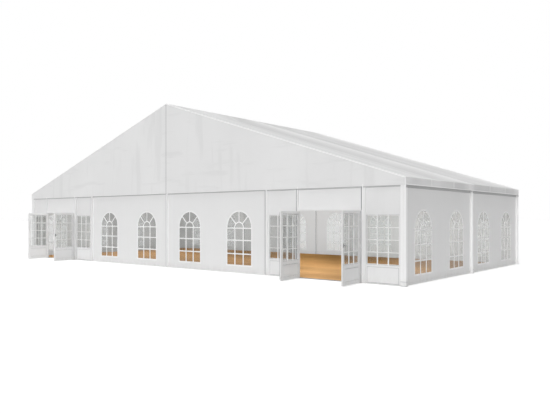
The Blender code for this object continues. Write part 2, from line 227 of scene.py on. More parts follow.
for spot, turns, long, power in lightSettings["hall"]:
    size = (long, lightSettings["hallHeight"]) if turns[0] else (lightSettings["hallHeight"], long)
    softPanel("hall", (*spot, lightSettings["hallMiddle"]), turns, size, power, lightSettings["hallSpread"])
softPanel("ceiling", **lightSettings["ceiling"])

world = bpy.data.worlds.new("studio")
world.use_nodes = True
sky = world.node_tree
background = next(node for node in sky.nodes if node.type == "BACKGROUND")
wireAll(sky, background, {0: grey(1), 1: ramp(sky, seenDirectly(sky), 0.0, 1.0, lightSettings["sky"], 1.0)})
bpy.context.scene.world = world

half, drop = lightSettings["floorHalf"], lightSettings["floorDrop"]
stageMesh = bpy.data.meshes.new("stage_floor")
corners = [(x * half, y * half, -drop) for x, y in ((-1, -1), (1, -1), (1, 1), (-1, 1))]
stageMesh.from_pydata(corners, [], [(0, 1, 2, 3)])
stageMaterial, stageTree, stageShader = startMaterial("stage_floor", {
    "Base Color": grey(lightSettings["floor"]), "Roughness": 1.0, "Specular IOR Level": 0.0,
    "Emission Color": grey(1)})
glow = ramp(stageTree, seenDirectly(stageTree), 0.0, 1.0, 0.0, lightSettings["floorGlow"])
wire(stageTree, glow, stageShader.inputs["Emission Strength"])
stageMesh.materials.append(stageMaterial)
addObject("stage_floor", stageMesh)
print("camera, floor and lights")


# Shader groups: each reads the piece's own Object coordinates, which are the tent's metres.
def buildCoatedWeave():
    tree, given, result = startGroup("coatedWeave", "ShaderNodeTree", {
        "Colour": grey(0.8), "Thread Size": 0.004, "Fold Spacing": 1.3, "Fold Depth": 0.001,
        "Pucker Depth": 0.004, "Mottle": 0.02, "Streaks": 0.0}, surfaceOutputs)
    threadRelief, foldHalf, foldShade, spacingGrowth = 0.00003, 0.035, 0.012, 0.2
    place = objectPlace(tree)
    turns = maths(tree, "DIVIDE", 2 * math.pi, given["Thread Size"])
    wander = times(tree, speckle(tree, place, 0.7, 2.0), 0.5)
    threads, lines = [], []
    for axis, along in enumerate(axes(tree, place)):
        threads.append(maths(tree, "SINE", times(tree, along, turns)))
        spacing = times(tree, given["Fold Spacing"], 0.8 + spacingGrowth * axis)
        reach = maths(tree, "PINGPONG", plus(tree, along, wander), spacing)
        lines.append(ramp(tree, reach, 0.0, foldHalf, 1.0, 0.0, smooth=True))
    folds = maths(tree, "MAXIMUM", maths(tree, "MAXIMUM", lines[0], lines[1]), lines[2])
    fading = ramp(tree, speckle(tree, place, 0.55, 2.0, shift=(4, 1, 7)), 0.42, 0.6)
    folds = times(tree, folds, fading)
    pucker = speckle(tree, place, 1.1, 4.0, 0.45, stretch=(1.0, 1.0, 0.55))
    height = plus(tree, times(tree, plus(tree, *threads), threadRelief),
                  times(tree, folds, given["Fold Depth"]), times(tree, pucker, given["Pucker Depth"]))
    cloud = speckle(tree, place, 0.45, 3.0, 0.55, stretch=(1, 1, 0.6), shift=(2, 9, 3))
    cloud = ramp(tree, cloud, 0.3, 0.7, -1.0, 1.0)
    grain = ramp(tree, speckle(tree, place, 160.0, 2.0), 0.3, 0.7, -0.35, 0.35)
    change = times(tree, plus(tree, cloud, grain), given["Mottle"])
    # painted shade: the colour is darker along the fold lines
    change = maths(tree, "SUBTRACT", change, times(tree, folds, foldShade))
    rising = speckle(tree, place, 1.9, 3.0, 0.5, stretch=(1.5, 1.5, 0.22), shift=(6, 2, 5))
    lying = speckle(tree, place, 1.9, 3.0, 0.5, stretch=(0.3, 0.3, 2.0), shift=(1, 8, 2))
    streaks = maths(tree, "MAXIMUM", ramp(tree, rising, 0.56, 0.68), ramp(tree, lying, 0.58, 0.70))
    change = maths(tree, "SUBTRACT", change, times(tree, streaks, given["Streaks"]))
    wireAll(tree, result, {
        "Colour": tint(tree, given["Colour"], plus(tree, change, 1.0)),
        "Roughness": ramp(tree, cloud, -1.0, 1.0, 0.46, 0.60), "Height": height})
    return tree


def buildFootDirt():
    tree, given, result = startGroup("footDirt", "ShaderNodeTree", {
        "Colour": grey(0.8), "Dirt Colour": (0.36, 0.32, 0.26, 1), "Reach": 0.35, "Amount": 0.3},
        {"Colour": "Color", "Mask": "Float"})
    place = objectPlace(tree)
    rise = maths(tree, "DIVIDE", axes(tree, place)[2], given["Reach"])
    low = ramp(tree, rise, 0.0, 1.0, 1.0, 0.0, smooth=True)
    spots = ramp(tree, speckle(tree, place, 7.0, 6.0, 0.65, stretch=(1, 1, 0.5)), 0.35, 0.75)
    rain = speckle(tree, place, 9.0, 3.0, 0.5, stretch=(1, 1, 0.04), shift=(3, 3, 1))
    rain = ramp(tree, rain, 0.55, 0.8, 0.0, 0.12)
    mask = times(tree, plus(tree, times(tree, low, spots), rain), given["Amount"], clamp=True)
    colour = blendColour(tree, mask, given["Colour"], given["Dirt Colour"])
    wireAll(tree, result, {"Colour": colour, "Mask": mask})
    return tree


def buildDrawnMetal():
    tree, given, result = startGroup("drawnMetal", "ShaderNodeTree", {
        "Colour": grey(0.8), "Along": (1, 1, 0.03), "Scuffs": 0.15, "Smooth": 0.25,
        "Dull": 0.45}, surfaceOutputs)
    drawRelief = 0.00006
    place = objectPlace(tree)
    stretched = vectorMaths(tree, "MULTIPLY", {0: place, 1: given["Along"]})
    streak = speckle(tree, stretched, 240.0, 3.0, 0.6)
    handling = ramp(tree, speckle(tree, place, 3.2, 5.0, 0.6, shift=(5, 5, 5)), 0.45, 0.72)
    scuff = times(tree, times(tree, ramp(tree, streak, 0.55, 0.7), handling), given["Scuffs"])
    value = maths(tree, "SUBTRACT", ramp(tree, streak, 0.3, 0.7, 0.985, 1.015), scuff)
    dullness = plus(tree, streak, times(tree, handling, 0.25))
    rough = ramp(tree, dullness, 0.3, 0.9, given["Smooth"], given["Dull"])
    wireAll(tree, result, {
        "Colour": tint(tree, given["Colour"], value), "Roughness": rough,
        "Height": times(tree, streak, drawRelief)})
    return tree


def buildPlankGrain():
    tree, given, result = startGroup("plankGrain", "ShaderNodeTree", {
        "Light": (0.62, 0.36, 0.16, 1), "Dark": (0.30, 0.14, 0.05, 1), "Board": 0.5}, surfaceOutputs)
    fibreRelief, boardJump, boardTones = 0.00025, (37.0, 11.0), 0.22   # each board is cut from its own place
    place = objectPlace(tree)
    jumps = [times(tree, given["Board"], distance) for distance in boardJump]
    jump = combine(tree, x=jumps[0], z=jumps[1])
    moved = vectorMaths(tree, "ADD", {0: place, 1: jump})
    fibre = speckle(tree, moved, 26.0, 6.0, 0.62, stretch=(0.06, 1.6, 1.0))
    mapped = put(tree, "ShaderNodeMapping", {"Vector": moved, "Scale": (0.35, 7.0, 1.0)}).outputs[0]
    ringInputs = {"Vector": mapped, "Scale": 1.4, "Distortion": 7.0, "Detail": 3.0}
    rings = put(tree, "ShaderNodeTexWave", ringInputs, wave_type="BANDS", bands_direction="Y")
    mask = plus(tree, times(tree, fibre, 0.65), times(tree, rings.outputs[1], 0.35))
    tone = ramp(tree, given["Board"], 0.0, 1.0, -boardTones, boardTones)
    mask = plus(tree, ramp(tree, mask, 0.25, 0.85), tone, clamp=True)
    wood = blendColour(tree, mask, given["Light"], given["Dark"])
    patches = speckle(tree, place, 0.5, 3.0, 0.5, stretch=(0.35, 1.6, 1.0))
    # painted light: the wood's colour is less saturated near the doorway and richer towards the rear wall
    depth = ramp(tree, axes(tree, place)[1], -4.9, 3.0, 0.88, 0.97)
    worn = ramp(tree, speckle(tree, place, 1.4, 4.0, 0.6), 0.3, 0.7, 0.28, 0.44)
    wireAll(tree, result, {
        "Colour": tint(tree, wood, ramp(tree, patches, 0.3, 0.7, 0.94, 1.06), depth),
        "Roughness": plus(tree, worn, times(tree, fibre, 0.06)), "Height": times(tree, fibre, fibreRelief)})
    return tree


def buildMouldedSkin():
    tree, given, result = startGroup("mouldedSkin", "ShaderNodeTree", {
        "Colour": grey(0.8), "Gloss": 0.35}, surfaceOutputs)
    skinRelief, toneChange, glossChange = 0.00008, 0.012, 0.05
    place = objectPlace(tree)
    pores = speckle(tree, place, 420.0, 2.0)
    cloud = ramp(tree, speckle(tree, place, 1.6, 3.0), 0.3, 0.7, -1.0, 1.0)
    wireAll(tree, result, {
        "Colour": tint(tree, given["Colour"], plus(tree, times(tree, cloud, toneChange), 1.0)),
        "Roughness": plus(tree, given["Gloss"], times(tree, cloud, glossChange)),
        "Height": times(tree, pores, skinRelief)})
    return tree


coatedWeave = buildCoatedWeave()
footDirt = buildFootDirt()
drawnMetal = buildDrawnMetal()
plankGrain = buildPlankGrain()
mouldedSkin = buildMouldedSkin()


def addBump(tree, height, shader):
    bump = put(tree, "ShaderNodeBump", {"Strength": 1.0, "Distance": 1.0, "Height": height})
    wire(tree, bump.outputs[0], shader.inputs["Normal"])


def shadeAlong(tree, colour, bands):   # painted light and shade along the tent, multiplied into the colour, which wander a little
    reach = 5.1
    place = objectPlace(tree)
    drift = ramp(tree, speckle(tree, place, 0.22, 2.0, 0.4), 0.3, 0.7, -0.15, 0.15)
    along = ramp(tree, plus(tree, axes(tree, place)[1], drift), -reach, reach)
    curve = put(tree, "ShaderNodeValToRGB")
    curve.color_ramp.interpolation = "EASE"
    stops = curve.color_ramp.elements
    stops.remove(stops[1])
    for k, (y, tone) in enumerate(bands):
        position = 0.5 * (y + reach) / reach
        stop = stops.new(position) if k else stops[0]
        stop.position = position
        stop.color = grey(0.5 * tone)   # half of each tone, doubled below, so that tones above 1 fit
    wire(tree, along, curve.inputs[0])
    doubled = vectorMaths(tree, "SCALE", {0: curve.outputs[0], "Scale": 2.0})
    return blendColour(tree, 1.0, colour, doubled, "MULTIPLY")


# Finishes: the inputs of each one's group, with colours as linear values
clothSettings = {
    "roof_cloth": {"Colour": grey(0.755), "Thread Size": 0.004, "Fold Spacing": 1.7, "Fold Depth": 0.0012,
                   "Pucker Depth": 0.010, "Mottle": 0.018, "Streaks": 0.02},
    "gable_cloth": {"Colour": grey(0.83), "Thread Size": 0.004, "Fold Spacing": 0.95, "Fold Depth": 0.0016,
                    "Pucker Depth": 0.007, "Mottle": 0.022, "Streaks": 0.045},
    "wall_cloth": {"Colour": grey(0.84), "Thread Size": 0.004, "Fold Spacing": 1.4, "Fold Depth": 0.0008,
                   "Pucker Depth": 0.005, "Mottle": 0.012, "Streaks": 0.0},
    "weld_tape": {"Colour": grey(0.93), "Thread Size": 0.003, "Fold Spacing": 3.0, "Fold Depth": 0.0002,
                  "Pucker Depth": 0.0008, "Mottle": 0.010, "Streaks": 0.0},
}
upward, endlong, anyWay = (1, 1, 0.02), (0.03, 0.03, 1), (1, 1, 1)   # how a drawn grain is stretched
metalSettings = {   # whether bare, then the group's inputs
    "white_coat_upright": (0.0, {"Colour": grey(0.96), "Along": upward, "Scuffs": 0.10,
                                 "Smooth": 0.24, "Dull": 0.42}),
    "white_coat_long": (0.0, {"Colour": grey(0.91), "Along": endlong, "Scuffs": 0.10,
                              "Smooth": 0.24, "Dull": 0.42}),
    "mill_aluminium": (1.0, {"Colour": (0.70, 0.71, 0.72, 1), "Along": endlong, "Scuffs": 0.2,
                             "Smooth": 0.26, "Dull": 0.48}),
    "zinc_steel": (1.0, {"Colour": (0.62, 0.63, 0.64, 1), "Along": anyWay, "Scuffs": 0.3,
                         "Smooth": 0.30, "Dull": 0.55}),
    "handle_coat": (0.0, {"Colour": (0.20, 0.205, 0.21, 1), "Along": anyWay, "Scuffs": 0.3,
                          "Smooth": 0.30, "Dull": 0.48}),
}
skinSettings = {   # colour and roughness
    # the two leaf whites are a darker and a lighter copy of one white: painted shade for the near door,
    # painted light for the far one
    "door_panel": (grey(0.85), 0.34), "door_leaf": (grey(0.80), 0.34), "pale_door_leaf": (grey(0.94), 0.34),
    "door_head": (grey(0.885), 0.34), "glazing_bar": (grey(0.94), 0.32),
    "wall_rail": ((0.52, 0.52, 0.525, 1), 0.42),
    "wall_footing": (grey(0.80), 0.40), "profile_groove": ((0.60, 0.60, 0.605, 1), 0.5),
    "joint_seal": ((0.30, 0.30, 0.31, 1), 0.5), "gasket": ((0.10, 0.10, 0.11, 1), 0.55),
}
clearSettings = {
    # the bright copies are clearer: painted light for the brighter hall seen through them
    "clear_film": (0.655, 0.66, 0.655, 1), "bright_film": (0.74, 0.745, 0.735, 1),
    "clear_pane": (0.70, 0.71, 0.705, 1), "bright_pane": (0.82, 0.83, 0.82, 1),
}
clearKinds = {   # shade is how much of a shadow it throws
    "film": {"ior": 1.40, "rippleScale": 2.6, "ripple": 0.0006, "rough": (0.02, 0.06), "shade": 0.25},
    "pane": {"ior": 1.45, "rippleScale": 1.2, "ripple": 0.0001, "rough": (0.0, 0.02), "shade": 0.22},
}
footDirtSettings = {   # how far dirt reaches up from the ground, and how much
    "wall_cloth": (0.30, 0.22), "weld_tape": (0.25, 0.2), "white_coat_upright": (0.30, 0.30),
    "mill_aluminium": (0.20, 0.35), "zinc_steel": (0.20, 0.25), "door_panel": (0.30, 0.22),
    "door_leaf": (0.30, 0.22), "pale_door_leaf": (0.30, 0.22), "wall_footing": (0.20, 0.25),
}
# painted light and shade on the roof cloth: lighter and darker bands along the tent, where the cloth's hang
# between frames would light or shade it
roofPaintedShade = [(-5.0, 1.105), (-4.5, 1.015), (-3.9, 1.055), (-3.5, 1.035), (-2.9, 1.07), (-2.4, 1.01),
             (-1.9, 0.975), (-1.35, 0.905), (-0.9, 0.935), (-0.5, 1.02), (-0.2, 1.10), (0.05, 1.07),
             (0.3, 0.935), (0.7, 0.90), (1.3, 0.935), (1.8, 0.918), (2.75, 0.985), (3.6, 0.935),
             (4.25, 0.98), (4.9, 1.15)]


def groupFinish(name, group, inputs, constants, bands=None):
    material, tree, shader = startMaterial(name, constants)
    made = put(tree, "ShaderNodeGroup", inputs, node_tree=group).outputs
    colour = made["Colour"]
    if bands:
        colour = shadeAlong(tree, colour, bands)
    if name in footDirtSettings:
        reach, amount = footDirtSettings[name]
        dirt = {"Colour": colour, "Reach": reach, "Amount": amount}
        colour = put(tree, "ShaderNodeGroup", dirt, node_tree=footDirt).outputs["Colour"]
    wireAll(tree, shader, {"Base Color": colour, "Roughness": made["Roughness"]})
    addBump(tree, made["Height"], shader)
    return material


def clearFinish(name, colour, look):
    material, tree, shader = startMaterial(name, {
        "Base Color": colour, "Transmission Weight": 1.0, "IOR": look["ior"], "Metallic": 0.0})
    place = objectPlace(tree)
    smears = ramp(tree, speckle(tree, place, 5.0, 4.0, 0.6), 0.35, 0.75, *look["rough"])
    shadowRays = put(tree, "ShaderNodeLightPath").outputs["Is Shadow Ray"]
    passing = ramp(tree, shadowRays, 0.0, 1.0, 1.0, look["shade"])   # light passes, as it does in fact
    wireAll(tree, shader, {"Roughness": smears, "Alpha": passing})
    ripple = speckle(tree, place, look["rippleScale"], 2.0, 0.4, stretch=(1, 1, 0.5))
    addBump(tree, times(tree, ripple, look["ripple"]), shader)
    return material


finishes = {}
for name, inputs in clothSettings.items():
    bands = roofPaintedShade if name == "roof_cloth" else None
    finishes[name] = groupFinish(name, coatedWeave, inputs, {"Specular IOR Level": 0.35}, bands)
for name, (bare, inputs) in metalSettings.items():
    finishes[name] = groupFinish(name, drawnMetal, inputs, {"Metallic": bare, "Specular IOR Level": 0.5})
for name, (colour, gloss) in skinSettings.items():
    inputs = {"Colour": colour, "Gloss": gloss}
    finishes[name] = groupFinish(name, mouldedSkin, inputs, {"Specular IOR Level": 0.5})
for name, colour in clearSettings.items():
    finishes[name] = clearFinish(name, colour, clearKinds[name.split("_")[1]])

boardSettings = {
    "light": (0.85, 0.465, 0.155, 1), "dark": (0.66, 0.335, 0.10, 1), "bounce": (0.36, 0.355, 0.345, 1),
    # bands: painted light and shade along the hall's depth
    "bands": [(-4.9, 1.05), (-4.0, 1.03), (-3.3, 0.96), (-2.9, 0.91), (-2.35, 0.79), (-1.9, 0.81),
              (-1.35, 0.92), (-0.8, 0.97), (-0.3, 1.05), (0.3, 1.03), (0.9, 0.90), (1.5, 0.77),
              (2.1, 0.73), (2.7, 0.74), (3.4, 0.73), (4.4, 0.78)],
    "slant": 0.75, "sideShade": (3.4, 4.5, 1.0, 0.74),   # painted shade beside the right wall
}


def boardFinish(name):
    material, tree, shader = startMaterial(name, {"Specular IOR Level": 0.0})
    tone = put(tree, "ShaderNodeAttribute", attribute_name="board").outputs["Fac"]
    inputs = {"Light": boardSettings["light"], "Dark": boardSettings["dark"], "Board": tone}
    made = put(tree, "ShaderNodeGroup", inputs, node_tree=plankGrain).outputs
    # painted light and shade along the hall's depth, then painted shade beside the right wall
    colour = shadeAlong(tree, made["Colour"], boardSettings["bands"])
    place = axes(tree, objectPlace(tree))
    side = plus(tree, place[0], times(tree, place[1], boardSettings["slant"]))
    colour = blendColour(tree, 1.0, colour, ramp(tree, side, *boardSettings["sideShade"]), "MULTIPLY")
    bounced = put(tree, "ShaderNodeLightPath").outputs["Is Diffuse Ray"]   # the hall's walls stay neutral
    colour = blendColour(tree, bounced, colour, boardSettings["bounce"])
    wireAll(tree, shader, {"Base Color": colour, "Roughness": made["Roughness"]})
    addBump(tree, made["Height"], shader)
    return material


finishes["floor_boards"] = boardFinish("floor_boards")
print("finishes:", len(finishes))


# Geometry trees: a flat strip along paths, fixings on points, and floor boards in rows.
def closeTree(tree, shape, finish, result):
    real = put(tree, "GeometryNodeRealizeInstances", {0: shape}).outputs[0]
    made = put(tree, "GeometryNodeSetMaterial", {0: real, "Material": finish}).outputs[0]
    wire(tree, made, result.inputs[0])
    return tree


def sweepAlong(tree, curve, section):
    standing = put(tree, "GeometryNodeSetCurveNormal", {0: curve}, mode="Z_UP").outputs[0]
    return put(tree, "GeometryNodeCurveToMesh", {0: standing, 1: section, "Fill Caps": True}).outputs[0]


def buildStripTree():
    tree, given, result = startGroup("stripsOnPaths", "GeometryNodeTree", {
        "Geometry": "Geometry", "Width": 0.04, "Rise": 0.003, "Chamfer": 0.001,
        "Finish": "Material"}, shapeOutputs)
    narrow = maths(tree, "SUBTRACT", given["Width"], times(tree, given["Chamfer"], 2.0))
    sizes = {"Top Width": given["Width"], "Bottom Width": narrow, "Height": given["Rise"], "Offset": 0.0}
    section = put(tree, "GeometryNodeCurvePrimitiveQuadrilateral", sizes, mode="TRAPEZOID").outputs[0]
    lift = combine(tree, y=times(tree, given["Rise"], -0.5))
    lifted = put(tree, "GeometryNodeTransform", {"Geometry": section, "Translation": lift}).outputs[0]
    paths = put(tree, "GeometryNodeMeshToCurve", {0: given["Geometry"]}).outputs[0]
    return closeTree(tree, sweepAlong(tree, paths, lifted), given["Finish"], result)


def buildFixingTree():
    tree, given, result = startGroup("fixingsOnPoints", "GeometryNodeTree", {
        "Geometry": "Geometry", "Head Radius": 0.008, "Head Height": 0.005, "Washer Radius": 0.012,
        "Washer Height": 0.002, "Head Sides": 6, "Seed": 7, "Finish": "Material"}, shapeOutputs)
    both = put(tree, "GeometryNodeJoinGeometry")
    for part, sides, base in (("Washer", 16, 0.0), ("Head", given["Head Sides"], given["Washer Height"])):
        sizes = {"Vertices": sides, "Radius": given[part + " Radius"], "Depth": given[part + " Height"]}
        barrel = put(tree, "GeometryNodeMeshCylinder", sizes).outputs[0]
        height = plus(tree, times(tree, given[part + " Height"], 0.5), base)
        lifted = {"Geometry": barrel, "Translation": combine(tree, z=height)}
        moved = put(tree, "GeometryNodeTransform", lifted)
        wire(tree, moved.outputs[0], both.inputs[0])
    named = put(tree, "GeometryNodeInputNamedAttribute", {"Name": "facing"}, data_type="FLOAT_VECTOR")
    facing = {"Vector": named.outputs[0]}
    turned = put(tree, "FunctionNodeAlignRotationToVector", facing, axis="Z").outputs[0]
    spinRange = {2: 0.0, 3: math.pi, "Seed": given["Seed"]}
    spin = put(tree, "FunctionNodeRandomValue", spinRange, data_type="FLOAT").outputs[1]
    about = put(tree, "FunctionNodeAxisAngleToRotation", {"Axis": (0, 0, 1), "Angle": spin}).outputs[0]
    turns = {0: turned, 1: about}
    twisted = put(tree, "FunctionNodeRotateRotation", turns, rotation_space="LOCAL").outputs[0]
    placed = put(tree, "GeometryNodeInstanceOnPoints", {
        "Points": given["Geometry"], "Instance": both.outputs[0], "Rotation": twisted}).outputs[0]
    return closeTree(tree, placed, given["Finish"], result)


def buildBoardTree():
    tree, given, result = startGroup("boardsInRows", "GeometryNodeTree", {
        "Geometry": "Geometry", "Board Length": 2.4, "Board Width": 0.19, "Board Thickness": 0.029,
        "Round": 0.002, "Seed": 11, "Finish": "Material"}, shapeOutputs)
    sizes = {"Width": given["Board Width"], "Height": given["Board Thickness"]}
    section = put(tree, "GeometryNodeCurvePrimitiveQuadrilateral", sizes, mode="RECTANGLE").outputs[0]
    rounding = {"Curve": section, "Radius": given["Round"], "Count": 2}
    rounded = put(tree, "GeometryNodeFilletCurve", rounding, mode="POLY").outputs[0]
    half = times(tree, given["Board Length"], 0.5)
    start, end = [combine(tree, times(tree, half, sign)) for sign in (-1.0, 1.0)]
    middle = put(tree, "GeometryNodeCurvePrimitiveLine", {"Start": start, "End": end}).outputs[0]
    plank = sweepAlong(tree, middle, rounded)
    placing = {"Points": given["Geometry"], "Instance": plank}
    placed = put(tree, "GeometryNodeInstanceOnPoints", placing).outputs[0]
    shade = put(tree, "FunctionNodeRandomValue", {"Seed": given["Seed"]}, data_type="FLOAT").outputs[1]
    stored = {"Geometry": placed, "Name": "board", "Value": shade}
    named = put(tree, "GeometryNodeStoreNamedAttribute", stored, data_type="FLOAT", domain="INSTANCE")
    return closeTree(tree, named.outputs[0], given["Finish"], result)


stripTree = buildStripTree()
fixingTree = buildFixingTree()
boardTree = buildBoardTree()


# Paths in a flat (u, v) plane
def straight(start, end, count=1):
    (u1, v1), (u2, v2) = start, end
    return [(u1 + (u2 - u1) * k / count, v1 + (v2 - v1) * k / count) for k in range(count + 1)]


def upright(u, low, high, count=1):
    return straight((u, low), (u, high), count)


def level(v, low, high, count=1):
    return straight((low, v), (high, v), count)


def arc(centre, radius, count, start=0.0, sweep=180.0):
    angles = [math.radians(start + sweep * k / count) for k in range(count + 1)]
    return [(centre[0] + radius * math.cos(angle), centre[1] + radius * math.sin(angle)) for angle in angles]


def borderLines(box, start, width):   # four lines of a strip that lies this far inside a box
    inset = start + 0.5 * width
    lowU, highU, lowV, highV = box[0] + inset, box[1] - inset, box[2] + inset, box[3] - inset
    lying = [level(v, lowU - 0.5 * width, highU + 0.5 * width) for v in (lowV, highV)]
    return lying + [upright(u, lowV, highV) for u in (lowU, highU)]


# Planes: place(u, v, depth) gives the point, and depth 0 is the outer face.
def wallPlane(outward, face):
    normal = Vector(outward)
    across = Vector((0, 0, 1)).cross(normal)
    return lambda u, v, depth: across * u + Vector((0, 0, v)) + normal * (face - depth)


def behind(place, extra):
    return lambda u, v, depth: place(u, v, depth + extra)


def faceAt(y, out, turned=Vector):   # out is -1 for an outer face, and turned takes the leaf's own point
    return lambda u, v, depth: turned((u, y - out * depth, v))


# Objects
def newObject(name, points, edges=(), faces=()):
    mesh = bpy.data.meshes.new(name)
    mesh.from_pydata([tuple(point) for point in points], edges, faces)
    mesh.update()
    return addObject(name, mesh)


def runTree(obj, group, values):
    modifier = obj.modifiers.new("build", "NODES")
    modifier.node_group = group
    for item in group.interface.items_tree:
        if item.item_type == "SOCKET" and item.in_out == "INPUT" and item.name in values:
            modifier[item.identifier] = values[item.name]
    depsgraph = bpy.context.evaluated_depsgraph_get()
    evaluated = obj.evaluated_get(depsgraph)
    made = bpy.data.meshes.new_from_object(evaluated, preserve_all_data_layers=True, depsgraph=depsgraph)
    obj.modifiers.clear()
    obj.data = made


def smooth(obj, angle=30, outward=True):
    shape = bmesh.new()
    shape.from_mesh(obj.data)
    if outward:
        bmesh.ops.recalc_face_normals(shape, faces=shape.faces)
    for face in shape.faces:
        face.smooth = True
    shape.to_mesh(obj.data)
    shape.free()
    obj.data.set_sharp_from_angle(angle=math.radians(angle))


def joined(name, pieces):
    shape = bmesh.new()
    materials = []
    for piece in pieces:
        first = len(shape.faces)
        shape.from_mesh(piece.data)
        shape.faces.ensure_lookup_table()
        for face in shape.faces[first:]:
            material = piece.data.materials[face.material_index]
            if material not in materials:
                materials.append(material)
            face.material_index = materials.index(material)
    mesh = bpy.data.meshes.new(name)
    for material in materials:
        mesh.materials.append(material)
    shape.to_mesh(mesh)
    shape.free()
    for piece in pieces:
        bpy.data.objects.remove(piece)
    return addObject(name, mesh)


def settle(name, pieces, slot, body="tent", replaced=()):
    obj = joined(name, pieces) if len(pieces) > 1 else pieces[0]
    obj.name = name
    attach(obj, body)
    if replaced:
        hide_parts(*replaced)
    return obj


def layStrips(paths, size, place, finish):   # size is width, rise and chamfer
    points, edges = [], []
    for path in paths:
        first = len(points)
        points += [(u, v, 0.0) for u, v in path]
        edges += [(first + k, first + k + 1) for k in range(len(path) - 1)]
    obj = newObject("strips", points, edges)
    width, rise, chamfer = size
    runTree(obj, stripTree, {"Width": width, "Rise": rise, "Chamfer": chamfer, "Finish": finishes[finish]})
    for vertex in obj.data.vertices:
        vertex.co = place(vertex.co.x, vertex.co.y, -vertex.co.z)
    smooth(obj)
    return obj


def loft(rings, finish, angle=30):   # a closed solid through rings of as many points each
    count = len(rings[0])
    last = (len(rings) - 1) * count
    faces = [tuple(reversed(range(count))), tuple(range(last, last + count))]
    for first in range(0, last, count):
        steps = [(first + k, first + (k + 1) % count) for k in range(count)]
        faces += [(a, b, b + count, a + count) for a, b in steps]
    obj = newObject("loft", [point for ring in rings for point in ring], faces=faces)
    smooth(obj, angle)
    obj.data.materials.append(finishes[finish])
    return obj


def layCloth(name, pattern, place, thick, finish, slot="white_fabric", replaced=()):
    flatPoints, flatFaces = pattern
    count = len(flatPoints)
    points = [place(u, v, depth) for depth in (0.0, thick) for u, v in flatPoints]
    faces = [tuple(face) for face in flatFaces]
    faces += [tuple(index + count for index in reversed(face)) for face in flatFaces]
    rim = {edge for face in flatFaces for edge in zip(face, (*face[1:], face[0]))}
    faces += [(end, start, start + count, end + count)
              for start, end in sorted(rim) if (end, start) not in rim]
    obj = newObject(name, points, faces=faces)
    smooth(obj, 35, outward=False)
    obj.data.materials.append(finishes[finish])
    return settle(name, [obj], slot, replaced=replaced)


def placeFixings(name, spots, size, finish, slot, body="tent", sides=6):
    obj = newObject(name, [spot for spot, _ in spots])
    facing = obj.data.attributes.new("facing", "FLOAT_VECTOR", "POINT")
    facing.data.foreach_set("vector", [value for _, direction in spots for value in direction])
    values = dict(zip(("Head Radius", "Head Height", "Washer Radius", "Washer Height"), size))
    runTree(obj, fixingTree, {**values, "Head Sides": sides, "Seed": len(name), "Finish": finishes[finish]})
    smooth(obj, outward=False)
    settle(name, [obj], slot, body)


# Flat patterns: an outline with holes, filled with even triangles
def inside(point, loop):
    hit = False
    for (x1, y1), (x2, y2) in zip(loop, loop[1:] + loop[:1]):
        if (y1 > point[1]) != (y2 > point[1]) and point[0] < x1 + (x2 - x1) * (point[1] - y1) / (y2 - y1):
            hit = not hit
    return hit


def closeTo(point, loop, reach):
    for (x1, y1), (x2, y2) in zip(loop, loop[1:] + loop[:1]):
        run = Vector((x2 - x1, y2 - y1))
        away = Vector((point[0] - x1, point[1] - y1))
        along = max(0.0, min(1.0, away.dot(run) / max(run.length_squared, 1e-12)))
        if (away - run * along).length < reach:
            return True
    return False


def densify(loop, step):
    points = []
    for start, end in zip(loop, loop[1:] + loop[:1]):
        points += straight(start, end, max(1, round(math.dist(start, end) / step)))[:-1]
    return points


def cutPattern(outline, holes, step):
    rim, *gaps = [densify(loop, step) for loop in (outline, *holes)]

    def inCloth(spot):
        return inside(spot, rim) and not any(inside(spot, gap) for gap in gaps)

    points, edges = [], []
    for loop in (rim, *gaps):
        first = len(points)
        points += loop
        edges += [(first + k, first + (k + 1) % len(loop)) for k in range(len(loop))]
    lowU, highU = min(u for u, _ in outline), max(u for u, _ in outline)
    lowV, highV = min(v for _, v in outline), max(v for _, v in outline)
    for row in range(1, math.ceil((highV - lowV) / step)):
        for column in range(1, math.ceil((highU - lowU) / step)):
            spot = (lowU + (column + 0.5 * (row % 2)) * step, lowV + row * step)
            if inCloth(spot) and not any(closeTo(spot, loop, 0.5 * step) for loop in (rim, *gaps)):
                points.append(spot)
    made = geometry.delaunay_2d_cdt([Vector(point) for point in points], edges, [], 0, 1e-6)
    flatPoints = [(point.x, point.y) for point in made[0]]
    flatFaces = []
    for face in made[2]:
        (u1, v1), (u2, v2), (u3, v3) = [flatPoints[k] for k in face]
        turn = (u2 - u1) * (v3 - v1) - (u3 - u1) * (v2 - v1)
        if abs(turn) > 1e-9 and inCloth(((u1 + u2 + u3) / 3, (v1 + v2 + v3) / 3)):
            flatFaces.append(face if turn > 0 else face[::-1])
    return flatPoints, flatFaces


def ease(value, low, high):
    share = max(0.0, min(1.0, (value - low) / (high - low)))
    return share * share * (3 - 2 * share)


def waves(u, v, rows, shift=0.0):   # each row is the scale along u and v, a place in the noise, and a size
    return sum(noise.noise(Vector((u * scaleU, v * scaleV, place + shift))) * size
               for scaleU, scaleV, place, size in rows)


